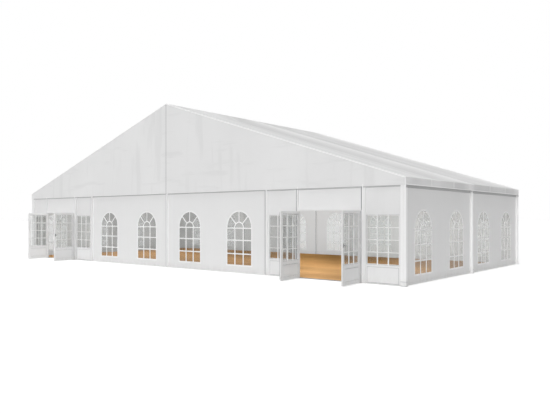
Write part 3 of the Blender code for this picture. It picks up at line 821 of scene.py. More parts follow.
# Roof covers: one sheet over each bay, from valance to valance, which hangs a little between the frames.
roofSettings = {
    "thick": 0.003, "inset": 0.0022, "stepAcross": 0.115, "stepAlong": 0.10, "corner": 0.008,
    "crown": 0.012, "crownDrop": 0.0006, "valanceSteps": 4, "split": 0.0003, "slopeFoot": 0.02,
    "frontSag": [(-5.05, 0.0), (-4.93, 0.0), (-4.35, 0.050), (-3.75, 0.064), (-3.35, 0.062), (-2.1, 0.104),
                 (-1.6, 0.108), (-0.9, 0.075), (-0.06, 0.0), (0.0, 0.0)],
    "rearSag": [(0.0, 0.0), (0.06, 0.0), (0.55, 0.034), (1.5, 0.066), (2.4, 0.090), (3.3, 0.092),
                (4.2, 0.055), (4.93, 0.0), (5.05, 0.0)],
    "taper": 0.75,       # length over which the hang dies out at eave and ridge
    "waves": ((0.55, 0.8, 3.0, 0.012), (2.3, 1.1, 8.0, 0.003)), "waveReach": 1.2,
    "valanceWaves": ((1.6, 0.7, 0.0, 0.0035),), "valanceReach": 0.8, "valanceTaper": 0.22,
    "valanceShift": 5.0,
    "seams": (1.68, 3.37), "seam": (0.035, 0.0007, 0.0003),
    "hem": (0.45, 0.0009, 0.05), "hemPlace": 0.35,   # across the roof these count in profile steps
    "hemSpan": (0.012, 5.03), "hemSteps": 40,
    "middleTrack": (0.20, 0.0022, 0.0008), "endTrack": (0.055, 0.0022, 0.0008), "trackInset": 0.002,
}
slopeFoot = tent["eave"] - roofSettings["slopeFoot"]


def readCurve(table, at):   # a smooth curve through the table's points
    if at <= table[0][0]:
        return table[0][1]
    for k in range(len(table) - 1):
        (x1, y1), (x2, y2) = table[k], table[k + 1]
        if at <= x2:
            x0, y0 = table[k - 1] if k else (2 * x1 - x2, y1)
            x3, y3 = table[k + 2] if k + 2 < len(table) else (2 * x2 - x1, y2)
            slope1, slope2 = (y2 - y0) / (x2 - x0), (y3 - y1) / (x3 - x1)
            span = x2 - x1
            t = (at - x1) / span
            return ((2 * t ** 3 - 3 * t ** 2 + 1) * y1 + (t ** 3 - 2 * t ** 2 + t) * span * slope1
                    + (3 * t ** 2 - 2 * t ** 3) * y2 + (t ** 3 - t ** 2) * span * slope2)
    return table[-1][1]


def roofProfile():
    inset, corner, crown, crownDrop = (roofSettings[key] for key in ("inset", "corner", "crown", "crownDrop"))
    edge = tent["outer"] - inset
    ridge = tent["ridge"] - inset * math.hypot(1, roofPitch)
    eave = ridge - roofPitch * edge
    count = round(edge / roofSettings["stepAcross"])
    right = [(crown, ridge - crown * roofPitch - crownDrop)]
    right += [(edge * k / count, ridge - roofPitch * edge * k / count) for k in range(1, count)]
    right += [(edge - corner, eave + corner * roofPitch), (edge - 0.35 * corner, eave - 0.15 * corner)]
    right += upright(edge, eave - corner, tent["bandFoot"], roofSettings["valanceSteps"])
    return [(-x, z) for x, z in reversed(right)] + [(0.0, ridge - 2 * crownDrop)] + right


profile = roofProfile()
lastStep = len(profile) - 1
profileNormals = []
for k in range(len(profile)):
    (x0, z0), (x1, z1) = profile[max(0, k - 1)], profile[min(lastStep, k + 1)]
    profileNormals.append(Vector((-(z1 - z0), 0, x1 - x0)).normalized())


def offFrames(y, reach):   # 0 over a frame, and 1 well away from it
    bay = tent["bay"]
    return ease(bay - abs(abs(y) % bay - 0.5 * bay) * 2, 0.0, reach)


def hang(x, y):
    table = roofSettings["frontSag"] if y < 0 else roofSettings["rearSag"]
    taper = ease(min(tent["outer"] - abs(x), abs(x)), 0.0, roofSettings["taper"])
    ripple = waves(x, y, roofSettings["waves"])
    return max(0.0, readCurve(table, y) + ripple * offFrames(y, roofSettings["waveReach"])) * taper


def valanceWave(x, y, z):
    low = ease(tent["eave"] - z, 0.0, roofSettings["valanceTaper"])
    wave = waves(y, z, roofSettings["valanceWaves"], math.copysign(roofSettings["valanceShift"], x))
    return wave * low * offFrames(y, roofSettings["valanceReach"])


def roofPoint(u, y, depth):   # u counts the steps of the profile from the left valance
    k = min(int(u), lastStep - 1)
    part = u - k
    (x0, z0), (x1, z1) = profile[k], profile[k + 1]
    x, z = x0 + (x1 - x0) * part, z0 + (z1 - z0) * part
    normal = profileNormals[k].lerp(profileNormals[k + 1], part).normalized()
    sink = hang(x, y) if z > slopeFoot else valanceWave(x, y, z)
    return Vector((x, y, z)) - normal * (sink + depth)


def roofPattern(start, end):
    count = round((end - start) / roofSettings["stepAlong"])
    width = len(profile)
    flatPoints = [(u, start + (end - start) * k / count) for k in range(count + 1) for u in range(width)]
    corners = [r * width + k for r in range(count) for k in range(lastStep)]
    return flatPoints, [(a, a + 1, a + 1 + width, a + width) for a in corners]


def acrossRoof(y, first=0, last=lastStep):
    return [(u, y) for u in range(first, last + 1)]


girth = sum(math.dist(profile[k], profile[k + 1]) for k in range(lastStep))
for label, side, holders in (("front", -1, ("front", "middle")), ("rear", 1, ("middle", "rear"))):
    start, end = sorted((side * roofSettings["split"], side * tent["coverEnd"]))
    cover = layCloth(label + "_roof_cloth", roofPattern(start, end), roofPoint, roofSettings["thick"],
                     "roof_cloth", replaced=(label + "_roof_cover",))
    seams = [acrossRoof(y) for y in sorted(side * seam for seam in roofSettings["seams"])]
    low, high = sorted(side * y for y in roofSettings["hemSpan"])
    hemPlaces = (roofSettings["hemPlace"], lastStep - roofSettings["hemPlace"])
    hems = [upright(u, low, high, roofSettings["hemSteps"]) for u in hemPlaces]
    strips = [layStrips(seams, roofSettings["seam"], roofPoint, "weld_tape"),
              layStrips(hems, roofSettings["hem"], roofPoint, "weld_tape")]
    seamPiece = settle(label + "_roof_seams", strips, "white_fabric")

# Keder tracks over the frames: one over the middle frame and one along each end.
slope = [k for k, (x, z) in enumerate(profile) if z > slopeFoot]
trackEnd = tent["coverEnd"] - 0.5 * roofSettings["endTrack"][0] - roofSettings["trackInset"]
tracks = [layStrips([acrossRoof(y, slope[0], slope[-1])], roofSettings[size], roofPoint, "white_coat_long")
          for y, size in ((0.0, "middleTrack"), (-trackEnd, "endTrack"), (trackEnd, "endTrack"))]
settle("roof_tracks", tracks, "white_metal")
print("roof covers: girth", round(girth, 2), "m")

# Gable sheets: strips are width, rise and chamfer
gableSettings = {
    "thick": 0.0025, "inset": 0.0022, "step": 0.14, "lift": 0.001,
    "waves": ((0.9, 0.45, 2.0, 0.0010), (2.6, 0.8, 6.0, 0.0005)),
    "stillEdge": 0.4, "stillFoot": 0.1, "stillMiddle": 0.05,
    "edge": (0.042, 0.0016, 0.0006), "edgeSteps": 20, "cornerDrop": 1.05, "slopeDrop": 1.052,
    "joint": (0.046, 0.0021, 0.0006), "jointShift": 0.025, "jointDrop": 0.05,
    "tick": (0.034, 0.0021, 0.0006), "ticks": (6.325, 8.705), "tickHeight": 0.06,
    "seam": (0.022, 0.0006, 0.0002), "seams": (2.45, 4.05, 6.3, 8.25), "seamDrop": 0.07, "seamSteps": 12,
    "hem": (0.035, 0.0009, 0.0003), "hemHalf": 10.02, "hemLift": 0.002, "hemSteps": 80,
    "flap": (0.10, 0.0012, 0.0006), "flapDrop": 0.08,
}


def gableTop(x):
    return tent["ridge"] - roofPitch * abs(x)


def gablePlace(side):
    plane = wallPlane((0, side, 0), tent["gableFace"] - gableSettings["inset"])
    stillEdge, stillFoot = gableSettings["stillEdge"], gableSettings["stillFoot"]

    def place(u, v, depth):
        edge = min(tent["outer"] - abs(u), gableTop(u) - v, v - tent["bandFoot"] + stillFoot)
        still = ease(edge, 0.0, stillEdge) * ease(abs(u), gableSettings["stillMiddle"], stillEdge)
        return plane(u, v, depth - still * waves(u * side, v, gableSettings["waves"]))
    return place


def gableTracks(label, side, place):
    foot = tent["bandFoot"] + gableSettings["lift"]
    half, steps = 0.5 * gableSettings["edge"][0], gableSettings["edgeSteps"]
    reach = tent["outer"] - half
    cornerTop = gableTop(reach) - half * gableSettings["cornerDrop"]
    slopeLine = [(reach * k / steps, gableTop(reach * k / steps) - half * gableSettings["slopeDrop"])
                 for k in range(-steps, steps + 1)]
    tickTop = tent["bandFoot"] + gableSettings["tickHeight"]
    ticks = [upright(u * sign, foot, tickTop) for u in gableSettings["ticks"] for sign in (-1, 1)]
    jointTop = tent["ridge"] - gableSettings["jointDrop"]
    lines = [   # paths, size and finish
        ([upright(-reach, foot, cornerTop), upright(reach, cornerTop, foot)], "edge", "door_panel"),
        # the left slope's edge strip is a greyer copy, painted shade, and the right slope's a whiter copy, a
        # painted highlight
        ([slopeLine[:steps + 1]], "edge", "wall_footing"),
        ([slopeLine[steps:]], "edge", "white_coat_upright"),
        # a grey line painted as the shadow in the centre joint
        ([upright(side * gableSettings["jointShift"], foot, jointTop)], "joint", "profile_groove"),
        (ticks if side < 0 else ticks[:1], "tick", "glazing_bar")]
    strips = [layStrips(paths, gableSettings[size], place, finish) for paths, size, finish in lines]
    settle(label + "_gable_tracks", strips, "white_metal")


def gableSeams(label, place):
    foot, steps = tent["bandFoot"], gableSettings["seamSteps"]
    welds = [upright(u, foot, gableTop(u) - gableSettings["seamDrop"], steps)
             for x in gableSettings["seams"] for u in (-x, x)]
    hemHeight = foot + 0.5 * gableSettings["hem"][0] + gableSettings["hemLift"]
    hem = level(hemHeight, -gableSettings["hemHalf"], gableSettings["hemHalf"], gableSettings["hemSteps"])
    flap = upright(0, foot, tent["ridge"] - gableSettings["flapDrop"], steps)
    strips = [layStrips(paths, gableSettings[size], place, "gable_cloth")
              for paths, size in ((welds, "seam"), ([hem], "hem"), ([flap], "flap"))]
    return settle(label + "_gable_seams", strips, "white_fabric")


gableHalf, gableFoot, gableEave = tent["outer"], tent["bandFoot"], tent["eave"] - gableSettings["lift"]
gableOutline = [(-gableHalf, gableFoot), (gableHalf, gableFoot), (gableHalf, gableEave),
                (0, tent["ridge"] - gableSettings["lift"]), (-gableHalf, gableEave)]
for label, side in (("front", -1), ("rear", 1)):
    place = gablePlace(side)
    pattern = cutPattern(gableOutline, [], gableSettings["step"])
    gableCloth = layCloth(label + "_gable_cloth", pattern, place, gableSettings["thick"], "gable_cloth",
                          replaced=(label + "_gable_sheet",))
    gableTracks(label, side, place)
    gableSeams(label, place)
print("gable sheets")

# Walls with arched windows, two in each plain bay
wallSettings = {
    "thick": 0.0025, "face": 0.0015, "step": 0.12, "stillSide": 0.35, "stillFoot": 0.2, "stillTop": 0.3,
    "waves": ((1.1, 0.35, 0.0, 0.0030), (3.1, 0.6, 1.0, 0.00135)), "waveShift": 3.7,
    "sheets": {   # shift of the middle, and half width
        "inner": (0.0, 2.4717), "side": (0.0, 2.4497), "outer": (0.0285, 2.4432)},
    "offset": 1.25, "radius": 0.585, "sill": 0.26, "spring": 1.565, "arcSteps": 24,
    "hem": (0.05, 0.0010, 0.0004), "hemInset": 0.02, "hemSteps": 30,
    "sideHem": (0.05, 0.0008, 0.0003), "sideInset": 0.03, "sideEnds": (0.01, 0.015), "sideSteps": 16,
}
windowSettings = {
    "border": (0.050, 0.0072, 0.0008), "rail": (0.041, 0.0067, 0.0008), "post": (0.046, 0.0064, 0.0008),
    "ray": (0.041, 0.0061, 0.0008), "railHeights": (0.665, 1.135, 1.555), "postPlaces": (-0.195, 0.195),
    "ring": 0.21, "ringSteps": 16, "rayAngles": (45, 90, 135), "latticeBehind": 0.0056,
    "filmMargin": 0.022, "filmThick": 0.001, "filmStep": 0.16, "filmBehind": 0.0030,
}
outwards = {"front": (0, -1, 0), "right": (1, 0, 0), "rear": (0, 1, 0), "left": (-1, 0, 0)}
plainBays = [   # name, middle of the bay from outside, sheet, legs and uprights it hangs between
    ("front_left", -2.5, "inner", ["front_left_upright", "front_centre_upright"]),
    ("front_right", 2.5, "inner", ["front_centre_upright", "front_right_upright"]),
    ("right_front", -2.5, "side", ["right_front_leg", "right_middle_leg"]),
    ("right_rear", 2.5, "side", ["right_middle_leg", "right_rear_leg"]),
    ("rear_outer_right", -7.5, "outer", ["right_rear_leg", "rear_right_upright"]),
    ("rear_inner_right", -2.5, "inner", ["rear_right_upright", "rear_centre_upright"]),
    ("rear_inner_left", 2.5, "inner", ["rear_centre_upright", "rear_left_upright"]),
    ("rear_outer_left", 7.5, "outer", ["rear_left_upright", "left_rear_leg"]),
    ("left_rear", -2.5, "side", ["left_rear_leg", "left_middle_leg"]),
    ("left_front", 2.5, "side", ["left_middle_leg", "left_front_leg"]),
]


def sheetSpan(bayMiddle, kind):   # middle and half width of a wall's sheet
    shift, half = wallSettings["sheets"][kind]
    return bayMiddle - math.copysign(shift, bayMiddle), half


def wallFace(label, lift=0.0):
    outward = outwards[label.split("_")[0]]
    reach = tent["halfSpan"] if outward[0] else tent["halfLength"]
    return wallPlane(outward, reach + wallSettings["face"] + lift)


def wallPlace(label, middle, half, number):
    plane = wallFace(label)

    def place(u, v, depth):
        still = (ease(half - abs(u - middle), 0.0, wallSettings["stillSide"])
                 * ease(v, 0.0, wallSettings["stillFoot"])
                 * ease(tent["wallTop"] - v, 0.0, wallSettings["stillTop"]))
        wave = waves(u, v, wallSettings["waves"], number * wallSettings["waveShift"])
        return plane(u, v, depth - still * wave)
    return place


def archLoop(centre, grow=0.0):
    radius, foot = wallSettings["radius"] + grow, wallSettings["sill"] - grow
    top = arc((centre, wallSettings["spring"]), radius, wallSettings["arcSteps"])
    return [(centre - radius, foot), (centre + radius, foot), *top]


def windowBars(label, centres, place):   # the bars stand on both faces of the film
    radius, sill = wallSettings["radius"], wallSettings["sill"]
    hub, ring = windowSettings["railHeights"][-1], windowSettings["ring"]
    corner = 0.5 * windowSettings["border"][0]
    paths = {"border": [], "rail": [], "post": [], "ray": []}
    for centre in centres:
        left, right, *top = archLoop(centre)
        paths["border"] += [level(sill, left[0] - corner, right[0] + corner), [right, *top, left]]
        paths["rail"] += [level(v, centre - radius, centre + radius) for v in windowSettings["railHeights"]]
        paths["post"] += [upright(centre + shift, sill, hub) for shift in windowSettings["postPlaces"]]
        paths["ray"].append(arc((centre, hub), ring, windowSettings["ringSteps"]))
        for angle in windowSettings["rayAngles"]:
            (inner,), (outer,) = [arc((centre, hub), reach, 1, angle)[:1] for reach in (ring, radius)]
            paths["ray"].append([inner, outer])
    lattice = behind(place, windowSettings["latticeBehind"])
    strips = [layStrips(lines, windowSettings[kind], lattice, "weld_tape") for kind, lines in paths.items()]
    return settle(label + "_window_bars", strips, "white_fabric")


def wallHem(label, middle, half, place):
    foot = tent["wallFoot"] + 0.5 * wallSettings["hem"][0]
    reach = half - wallSettings["hemInset"]
    below, above = wallSettings["sideEnds"]
    sides = [upright(middle + sign * (half - wallSettings["sideInset"]), tent["wallFoot"] + below,
                     tent["wallTop"] - above, wallSettings["sideSteps"]) for sign in (-1, 1)]
    hemLine = level(foot, middle - reach, middle + reach, wallSettings["hemSteps"])
    strips = [layStrips([hemLine], wallSettings["hem"], place, "weld_tape"),
              layStrips(sides, wallSettings["sideHem"], place, "weld_tape")]
    return settle(label + "_hem", strips, "white_fabric")


def windowFilms(label, centres, place):
    radius, margin = wallSettings["radius"], windowSettings["filmMargin"]
    side = label.split("_")[0]
    for letter, centre in zip("ab", centres):
        replaced = () if side in filmsPlaced else (side + "_window_film",)
        filmsPlaced.add(side)
        pattern = cutPattern(archLoop(centre, margin), [], windowSettings["filmStep"])
        # the right side's films take the clearer copy, painted light
        film = layCloth(f"{label}_film_{letter}", pattern, behind(place, windowSettings["filmBehind"]),
                        windowSettings["filmThick"], "bright_film" if side == "right" else "clear_film",
                        slot="clear_film", replaced=replaced)


filmsPlaced = set()
for number, (label, bayMiddle, kind, holders) in enumerate(plainBays):
    middle, half = sheetSpan(bayMiddle, kind)
    place = wallPlace(label, middle, half, number)
    outline = [(middle - half, tent["wallFoot"]), (middle + half, tent["wallFoot"]),
               (middle + half, tent["wallTop"]), (middle - half, tent["wallTop"])]
    centres = [bayMiddle - wallSettings["offset"], bayMiddle + wallSettings["offset"]]
    pattern = cutPattern(outline, [archLoop(centre) for centre in centres], wallSettings["step"])
    cloth = layCloth(label + "_cloth", pattern, place, wallSettings["thick"], "wall_cloth",
                     replaced=(label + "_wall",))
    bars = windowBars(label, centres, place)
    hem = wallHem(label, middle, half, place)
    windowFilms(label, centres, place)
print("walls:", len(plainBays), "with windows")

# Rails at head and foot of the walls, painted shadow lines on the uprights, clips, purlins, shoes and bolts
frameSettings = {
    "railLift": 0.0012, "footRail": (0.035, 0.006, 0.002), "footRailLow": 0.050,
    "topRail": {"gable": 2.832, "side": 2.808}, "topRailCover": 0.012, "topRailSize": (0.012, 0.003),
    "groove": (0.038, 0.0012, 0.0004), "broadShadowLine": (0.046, 0.0012, 0.0004),
    "innerShadowLine": (0.036, 0.0012, 0.0004),
    "shadowLineShift": -0.026, "shadowLineFoot": 0.03, "innerFoot": 0.035, "innerDrop": 0.55,
    "clipDrop": 0.006, "clipFace": 10.09, "clipSize": (0.0012, 0.0004),
    "purlin": (0.05, 0.10), "purlinRound": 0.003, "purlinSlot": (0.012, 0.010), "purlinPlaces": (3.4, 6.7),
    "purlinDrop": 0.21, "purlinEnds": (0.0503, 4.9497),
    "collar": (0.022, 0.0030, 0.0012), "collarHeights": (0.012, 0.128),
    "bolt": (0.0055, 0.0020, 0.0080, 0.0010), "boltHeights": (0.055, 0.095),
    "sideBolts": (-0.028, 0.028), "gableBolts": (0.04, 0.09),
}
for label, bayMiddle, kind, holders in plainBays:
    middle, half = sheetSpan(bayMiddle, kind)
    plane = wallFace(label, frameSettings["railLift"])
    height = frameSettings["topRail"]["side" if kind == "side" else "gable"]
    deep = 2 * (tent["bandFoot"] + frameSettings["topRailCover"] - height)
    foot = frameSettings["footRailLow"] + 0.5 * frameSettings["footRail"][0]
    # the head rail's grey is partly the rail's own and partly painted shade under the valance and the gable
    # band
    rails = (("top", height, (deep, *frameSettings["topRailSize"]), "wall_rail", "bare_metal"),
             ("foot", foot, frameSettings["footRail"], "wall_footing", "white_metal"))
    for end, v, size, finish, slot in rails:
        rail = layStrips([level(v, middle - half, middle + half)], size, plane, finish)
        settle(f"{label}_{end}_rail", [rail], slot)

for label, side in (("front", -1), ("rear", 1)):   # thin grey lines up both faces of the gable uprights, painted as the shadow gaps beside them
    outerFace = wallPlane((0, side, 0), tent["halfLength"] + tent["profileHalf"])
    innerFace = wallPlane((0, -side, 0), tent["profileHalf"] - tent["halfLength"])
    places = (-tent["bay"], 0.0, tent["bay"])
    top = tent["bandFoot"] - gableSettings["lift"]
    outer = [upright(x + frameSettings["shadowLineShift"], frameSettings["shadowLineFoot"], top) for x in places]
    inner = [upright(side * x, frameSettings["innerFoot"], gableTop(x) - frameSettings["innerDrop"])
             for x in places]
    settle(label + "_upright_grooves", [
        layStrips(outer[:2], frameSettings["groove"], outerFace, "profile_groove"),
        layStrips(outer[2:], frameSettings["broadShadowLine"], outerFace, "wall_rail"),
        layStrips(inner, frameSettings["innerShadowLine"], innerFace, "joint_seal")], "white_metal")

# grey clips on the legs carry the head rails' grey across them, as painted shade under the valance
clips = []
clipHeight = frameSettings["topRail"]["side"] - frameSettings["clipDrop"]
clipSize = (2 * (tent["bandFoot"] - clipHeight), *frameSettings["clipSize"])
for side in (-1, 1):
    plane = wallPlane((side, 0, 0), frameSettings["clipFace"])
    for y in (-tent["halfLength"], 0.0, tent["halfLength"]):
        path = level(clipHeight, side * y - tent["profileHalf"], side * y + tent["profileHalf"])
        clips.append(layStrips([path], clipSize, plane, "wall_rail"))
settle("leg_rail_clips", clips, "bare_metal")


def purlinSection():   # a bar with a slot along each side
    w, d = (0.5 * size for size in frameSettings["purlin"])
    lip, cut = frameSettings["purlinSlot"]
    soft = frameSettings["purlinRound"]
    right = [(w, soft - d), (w, -0.5 * lip), (w - cut, -0.5 * lip), (w - cut, 0.5 * lip), (w, 0.5 * lip),
             (w, d - soft), (w - soft, d)]
    return right + [(-a, -b) for a, b in right]


for side, hand in ((-1, "left"), (1, "right")):
    rise = Vector((side * roofPitch, 0, 1)).normalized()   # square to the roof
    across = Vector((0, 1, 0)).cross(rise)
    for number, x in enumerate(frameSettings["purlinPlaces"], 1):
        z = gableTop(x) - frameSettings["purlinDrop"]
        for bay, sign in (("front", -1), ("rear", 1)):
            ends = sorted(sign * y for y in frameSettings["purlinEnds"])
            rings = [[Vector((side * x, y, z)) + across * a + rise * b for a, b in purlinSection()]
                     for y in ends]
            settle(f"{hand}_{bay}_purlin_{number}", [loft(rings, "white_coat_long")], "white_metal")

spots = []
for leg in [f"{side}_{place}_leg" for side in ("left", "right") for place in ("front", "middle", "rear")]:
    low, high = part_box(leg)
    side = 1 if high.x > 0 else -1
    outer = high.x if side > 0 else low.x
    middle = 0.5 * (low.y + high.y)
    sidePlane = wallPlane((side, 0, 0), abs(outer))
    sideSpan = (side * middle - tent["profileHalf"], side * middle + tent["profileHalf"])
    lines = [(level(v, *sideSpan), sidePlane) for v in frameSettings["collarHeights"]]
    spots += [((outer, middle + shift, height), (side, 0, 0))
              for height in frameSettings["boltHeights"] for shift in frameSettings["sideBolts"]]
    if leg.split("_")[1] != "middle":   # a corner leg shows its gable face too
        face = int(math.copysign(1, middle))
        plane = wallPlane((0, face, 0), abs(middle) + tent["profileHalf"])
        span = (low.x, high.x) if face < 0 else (-high.x, -low.x)
        lines += [(level(v, *span), plane) for v in frameSettings["collarHeights"]]
        spots += [((outer - side * shift, middle + face * tent["profileHalf"], height), (0, face, 0))
                  for height in frameSettings["boltHeights"] for shift in frameSettings["gableBolts"]]
    collar = [layStrips([path], frameSettings["collar"], plane, "mill_aluminium") for path, plane in lines]
    settle(leg[:-4] + "_shoe_collar", collar, "bare_metal")
placeFixings("shoe_bolts", spots, frameSettings["bolt"], "zinc_steel", "bare_metal")
print("rails, purlins, shoes and", len(spots), "bolts")

# Door bays: fixed side panels, leaves and their glazing. Strips are width, rise and chamfer.
doorSettings = {
    "middle": 7.5, "head": 2.136, "half": 1.158, "axisInset": 0.013, "axisY": -5.062, "paneHalf": 0.003,
    "panelHalf": 0.02,   # half the thickness of a side panel
    "angles": {"left_door_left": 76, "left_door_right": 104, "right_door_left": 83, "right_door_right": 96},
    "guard": 0.0122, "guardSpan": (0.03, 2.118), "guardArc": (12, 62, 266),
    "guardFoot": (0.012, 0.0035, 0.0002), "guardFace": -5.0497,
    "kick": (0.020, 0.004, 0.0015), "kickLine": (0.006, 0.002, 0.0006), "kickHeights": (0.014, 0.032),
    "kickOver": (0.035, 0.03), "cap": (0.05, 0.003, 0.001), "capRise": 0.04, "capInset": 0.002,
    "joint": (0.020, 0.0022, 0.0006), "jointPlaces": (0.066, 0.008), "jointSpan": (0.02, 2.839),
    "overHead": 0.004,
    "topRail": (0.040, 0.0310, 0.003), "topRailHeight": 2.822, "topRailHalf": 2.44, "topRailCut": 0.03,
    "cover": (0.033, 0.0042, 0.0012), "coverPlace": 0.040, "coverSpan": (0.03, 2.838),
    "headSeal": (0.008, 0.0020, 0.0006), "headSealInset": 0.008, "headSealTop": 2.80,
    "threshold": (0.085, 0.018, 0.008), "thresholdHalf": 1.150, "thresholdY": -4.995, "thresholdLift": 0.0005,
}
leafSettings = {
    "reach": 1.141, "faces": (0.017, 0.062), "infillX": (0.093, 1.041), "glassZ": (0.595, 2.040),
    "panelZ": (0.12, 0.51), "sunk": 0.006,   # the panel lies this far behind the leaf's face
    "edgeSeal": (0.018, 0.013, 0.004), "edgeSealSpan": (0.05, 2.08),
    "screw": (0.0035, 0.0012, 0.0050, 0.0008), "screwSides": 10, "screwHeights": (0.30, 1.07, 1.84),
    "screwLifts": (-0.028, 0.028), "screwPlaces": (0.035, 0.062),
}
glazingSettings = {
    "columns": 3, "rows": 4, "crossbar": (0.019, 0.0105, 0.0030), "bar": (0.036, 0.0115, 0.0030),
    "gasket": (0.007, 0.004, 0.001), "bead": (0.018, 0.009, 0.003),
}
mouldingSettings = {
    "outer": (0.007, 0.022, 1.0), "inner": (0.056, 0.012, 0.6),   # inset, width, share of the rise
    "chamfer": 0.4, "seal": (0.007, 0.0015, 0.0004), "shadow": (0.0017, 0.0004), "shadowInset": (0.03, 0.033),
    "sidePanel": {"rise": 0.005, "under": 0.0}, "sideInset": 0.02, "sideZ": (0.042, 0.502),
    "leafPanel": {"rise": 0.0075, "under": 0.006}, "leafGrow": 0.006,
}


def bothFaces(outerY, innerY, turned=Vector):
    return [faceAt(outerY, -1, turned), faceAt(innerY, 1, turned)]


def glazingPieces(name, box, faces, body="tent"):
    lowU, highU, lowV, highV = box
    columns, rows = glazingSettings["columns"], glazingSettings["rows"]
    gasketLines = borderLines(box, 0.0, glazingSettings["gasket"][0])
    beadLines = borderLines(box, glazingSettings["gasket"][0], glazingSettings["bead"][0])
    across = [level(lowV + (highV - lowV) * k / rows, lowU, highU) for k in range(1, rows)]
    rising = [upright(lowU + (highU - lowU) * k / columns, lowV, highV) for k in range(1, columns)]
    bars = [layStrips(lines, glazingSettings[size], place, "glazing_bar") for place in faces
            for lines, size in ((across, "crossbar"), (rising, "bar"), (beadLines, "bead"))]
    gaskets = [layStrips(gasketLines, glazingSettings["gasket"], place, "gasket") for place in faces]
    settle(name + "_glazing_bars", bars, "white_panel", body)
    settle(name + "_gasket", gaskets, "dark_handle", body)


def mouldingPieces(name, box, faces, finish, rise, under, shadowWidth=0.0, body="tent"):
    strips, seals = [], []
    shadowEnd, shadowDrop = mouldingSettings["shadowInset"]
    for place in faces:
        for inset, width, share in (mouldingSettings["outer"], mouldingSettings["inner"]):
            size = (width, share * rise, mouldingSettings["chamfer"] * width)
            strips.append(layStrips(borderLines(box, inset, width), size, place, finish))
        sealLines = borderLines(box, under, mouldingSettings["seal"][0])
        seals.append(layStrips(sealLines, mouldingSettings["seal"], place, "joint_seal"))
        if shadowWidth:   # a dark strip painted as the shadow line below the top moulding
            groove = level(box[3] - shadowDrop, box[0] + shadowEnd, box[1] - shadowEnd)
            seals.append(layStrips([groove], (shadowWidth, *mouldingSettings["shadow"]), place, "joint_seal"))
    settle(name + "_moulding", strips, "white_panel", body)
    settle(name + "_panel_seal", seals, "dark_handle", body)


def sidePanel(door, hand):
    low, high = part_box(f"{door}_{hand}_pane")
    name = f"{door}_{hand}_side"
    y, paneHalf, panelHalf = -tent["halfLength"], doorSettings["paneHalf"], doorSettings["panelHalf"]
    glazingPieces(name, (low.x, high.x, low.z, high.z), bothFaces(y - paneHalf, y + paneHalf))
    inset = mouldingSettings["sideInset"]
    box = (low.x + inset, high.x - inset, *mouldingSettings["sideZ"])
    faces = bothFaces(y - panelHalf, y + panelHalf)
    mouldingPieces(name, box, faces, "door_panel", **mouldingSettings["sidePanel"])
    ends = (low.x - doorSettings["kickOver"][0], high.x + doorSettings["kickOver"][1])
    kicks = zip(doorSettings["kickHeights"], (("kick", "wall_footing"), ("kickLine", "wall_rail")))
    strips = [layStrips([level(height, *ends)], doorSettings[size], faces[0], finish)
              for height, (size, finish) in kicks]
    settle(name + "_kick", strips, "white_metal")


# Rubber round each hinge line, which closes the gap beside an open leaf.
def hingeGuards(door, bayMiddle, finish):
    wide, thick, over = doorSettings["guardFoot"]
    face, axisY = doorSettings["guardFace"], doorSettings["axisY"]
    pieces = []
    for side in (-1, 1):
        jamb = bayMiddle + side * doorSettings["half"]
        hinge = jamb - side * doorSettings["axisInset"]
        section = [(jamb + side * wide, face - thick), (jamb + side * wide, face + over), (jamb, face + over)]
        curve = arc((0, 0), doorSettings["guard"], *doorSettings["guardArc"])
        section += [(hinge + side * x, axisY + y) for x, y in curve]
        rings = [[(x, y, z) for x, y in section] for z in doorSettings["guardSpan"]]
        # the right guard is grey on the near door, painted shadow in the gap; the left guard is pale
        pieces.append(loft(rings, finish if side > 0 else "wall_footing"))
    settle(door + "_hinge_guards", pieces, "dark_handle")


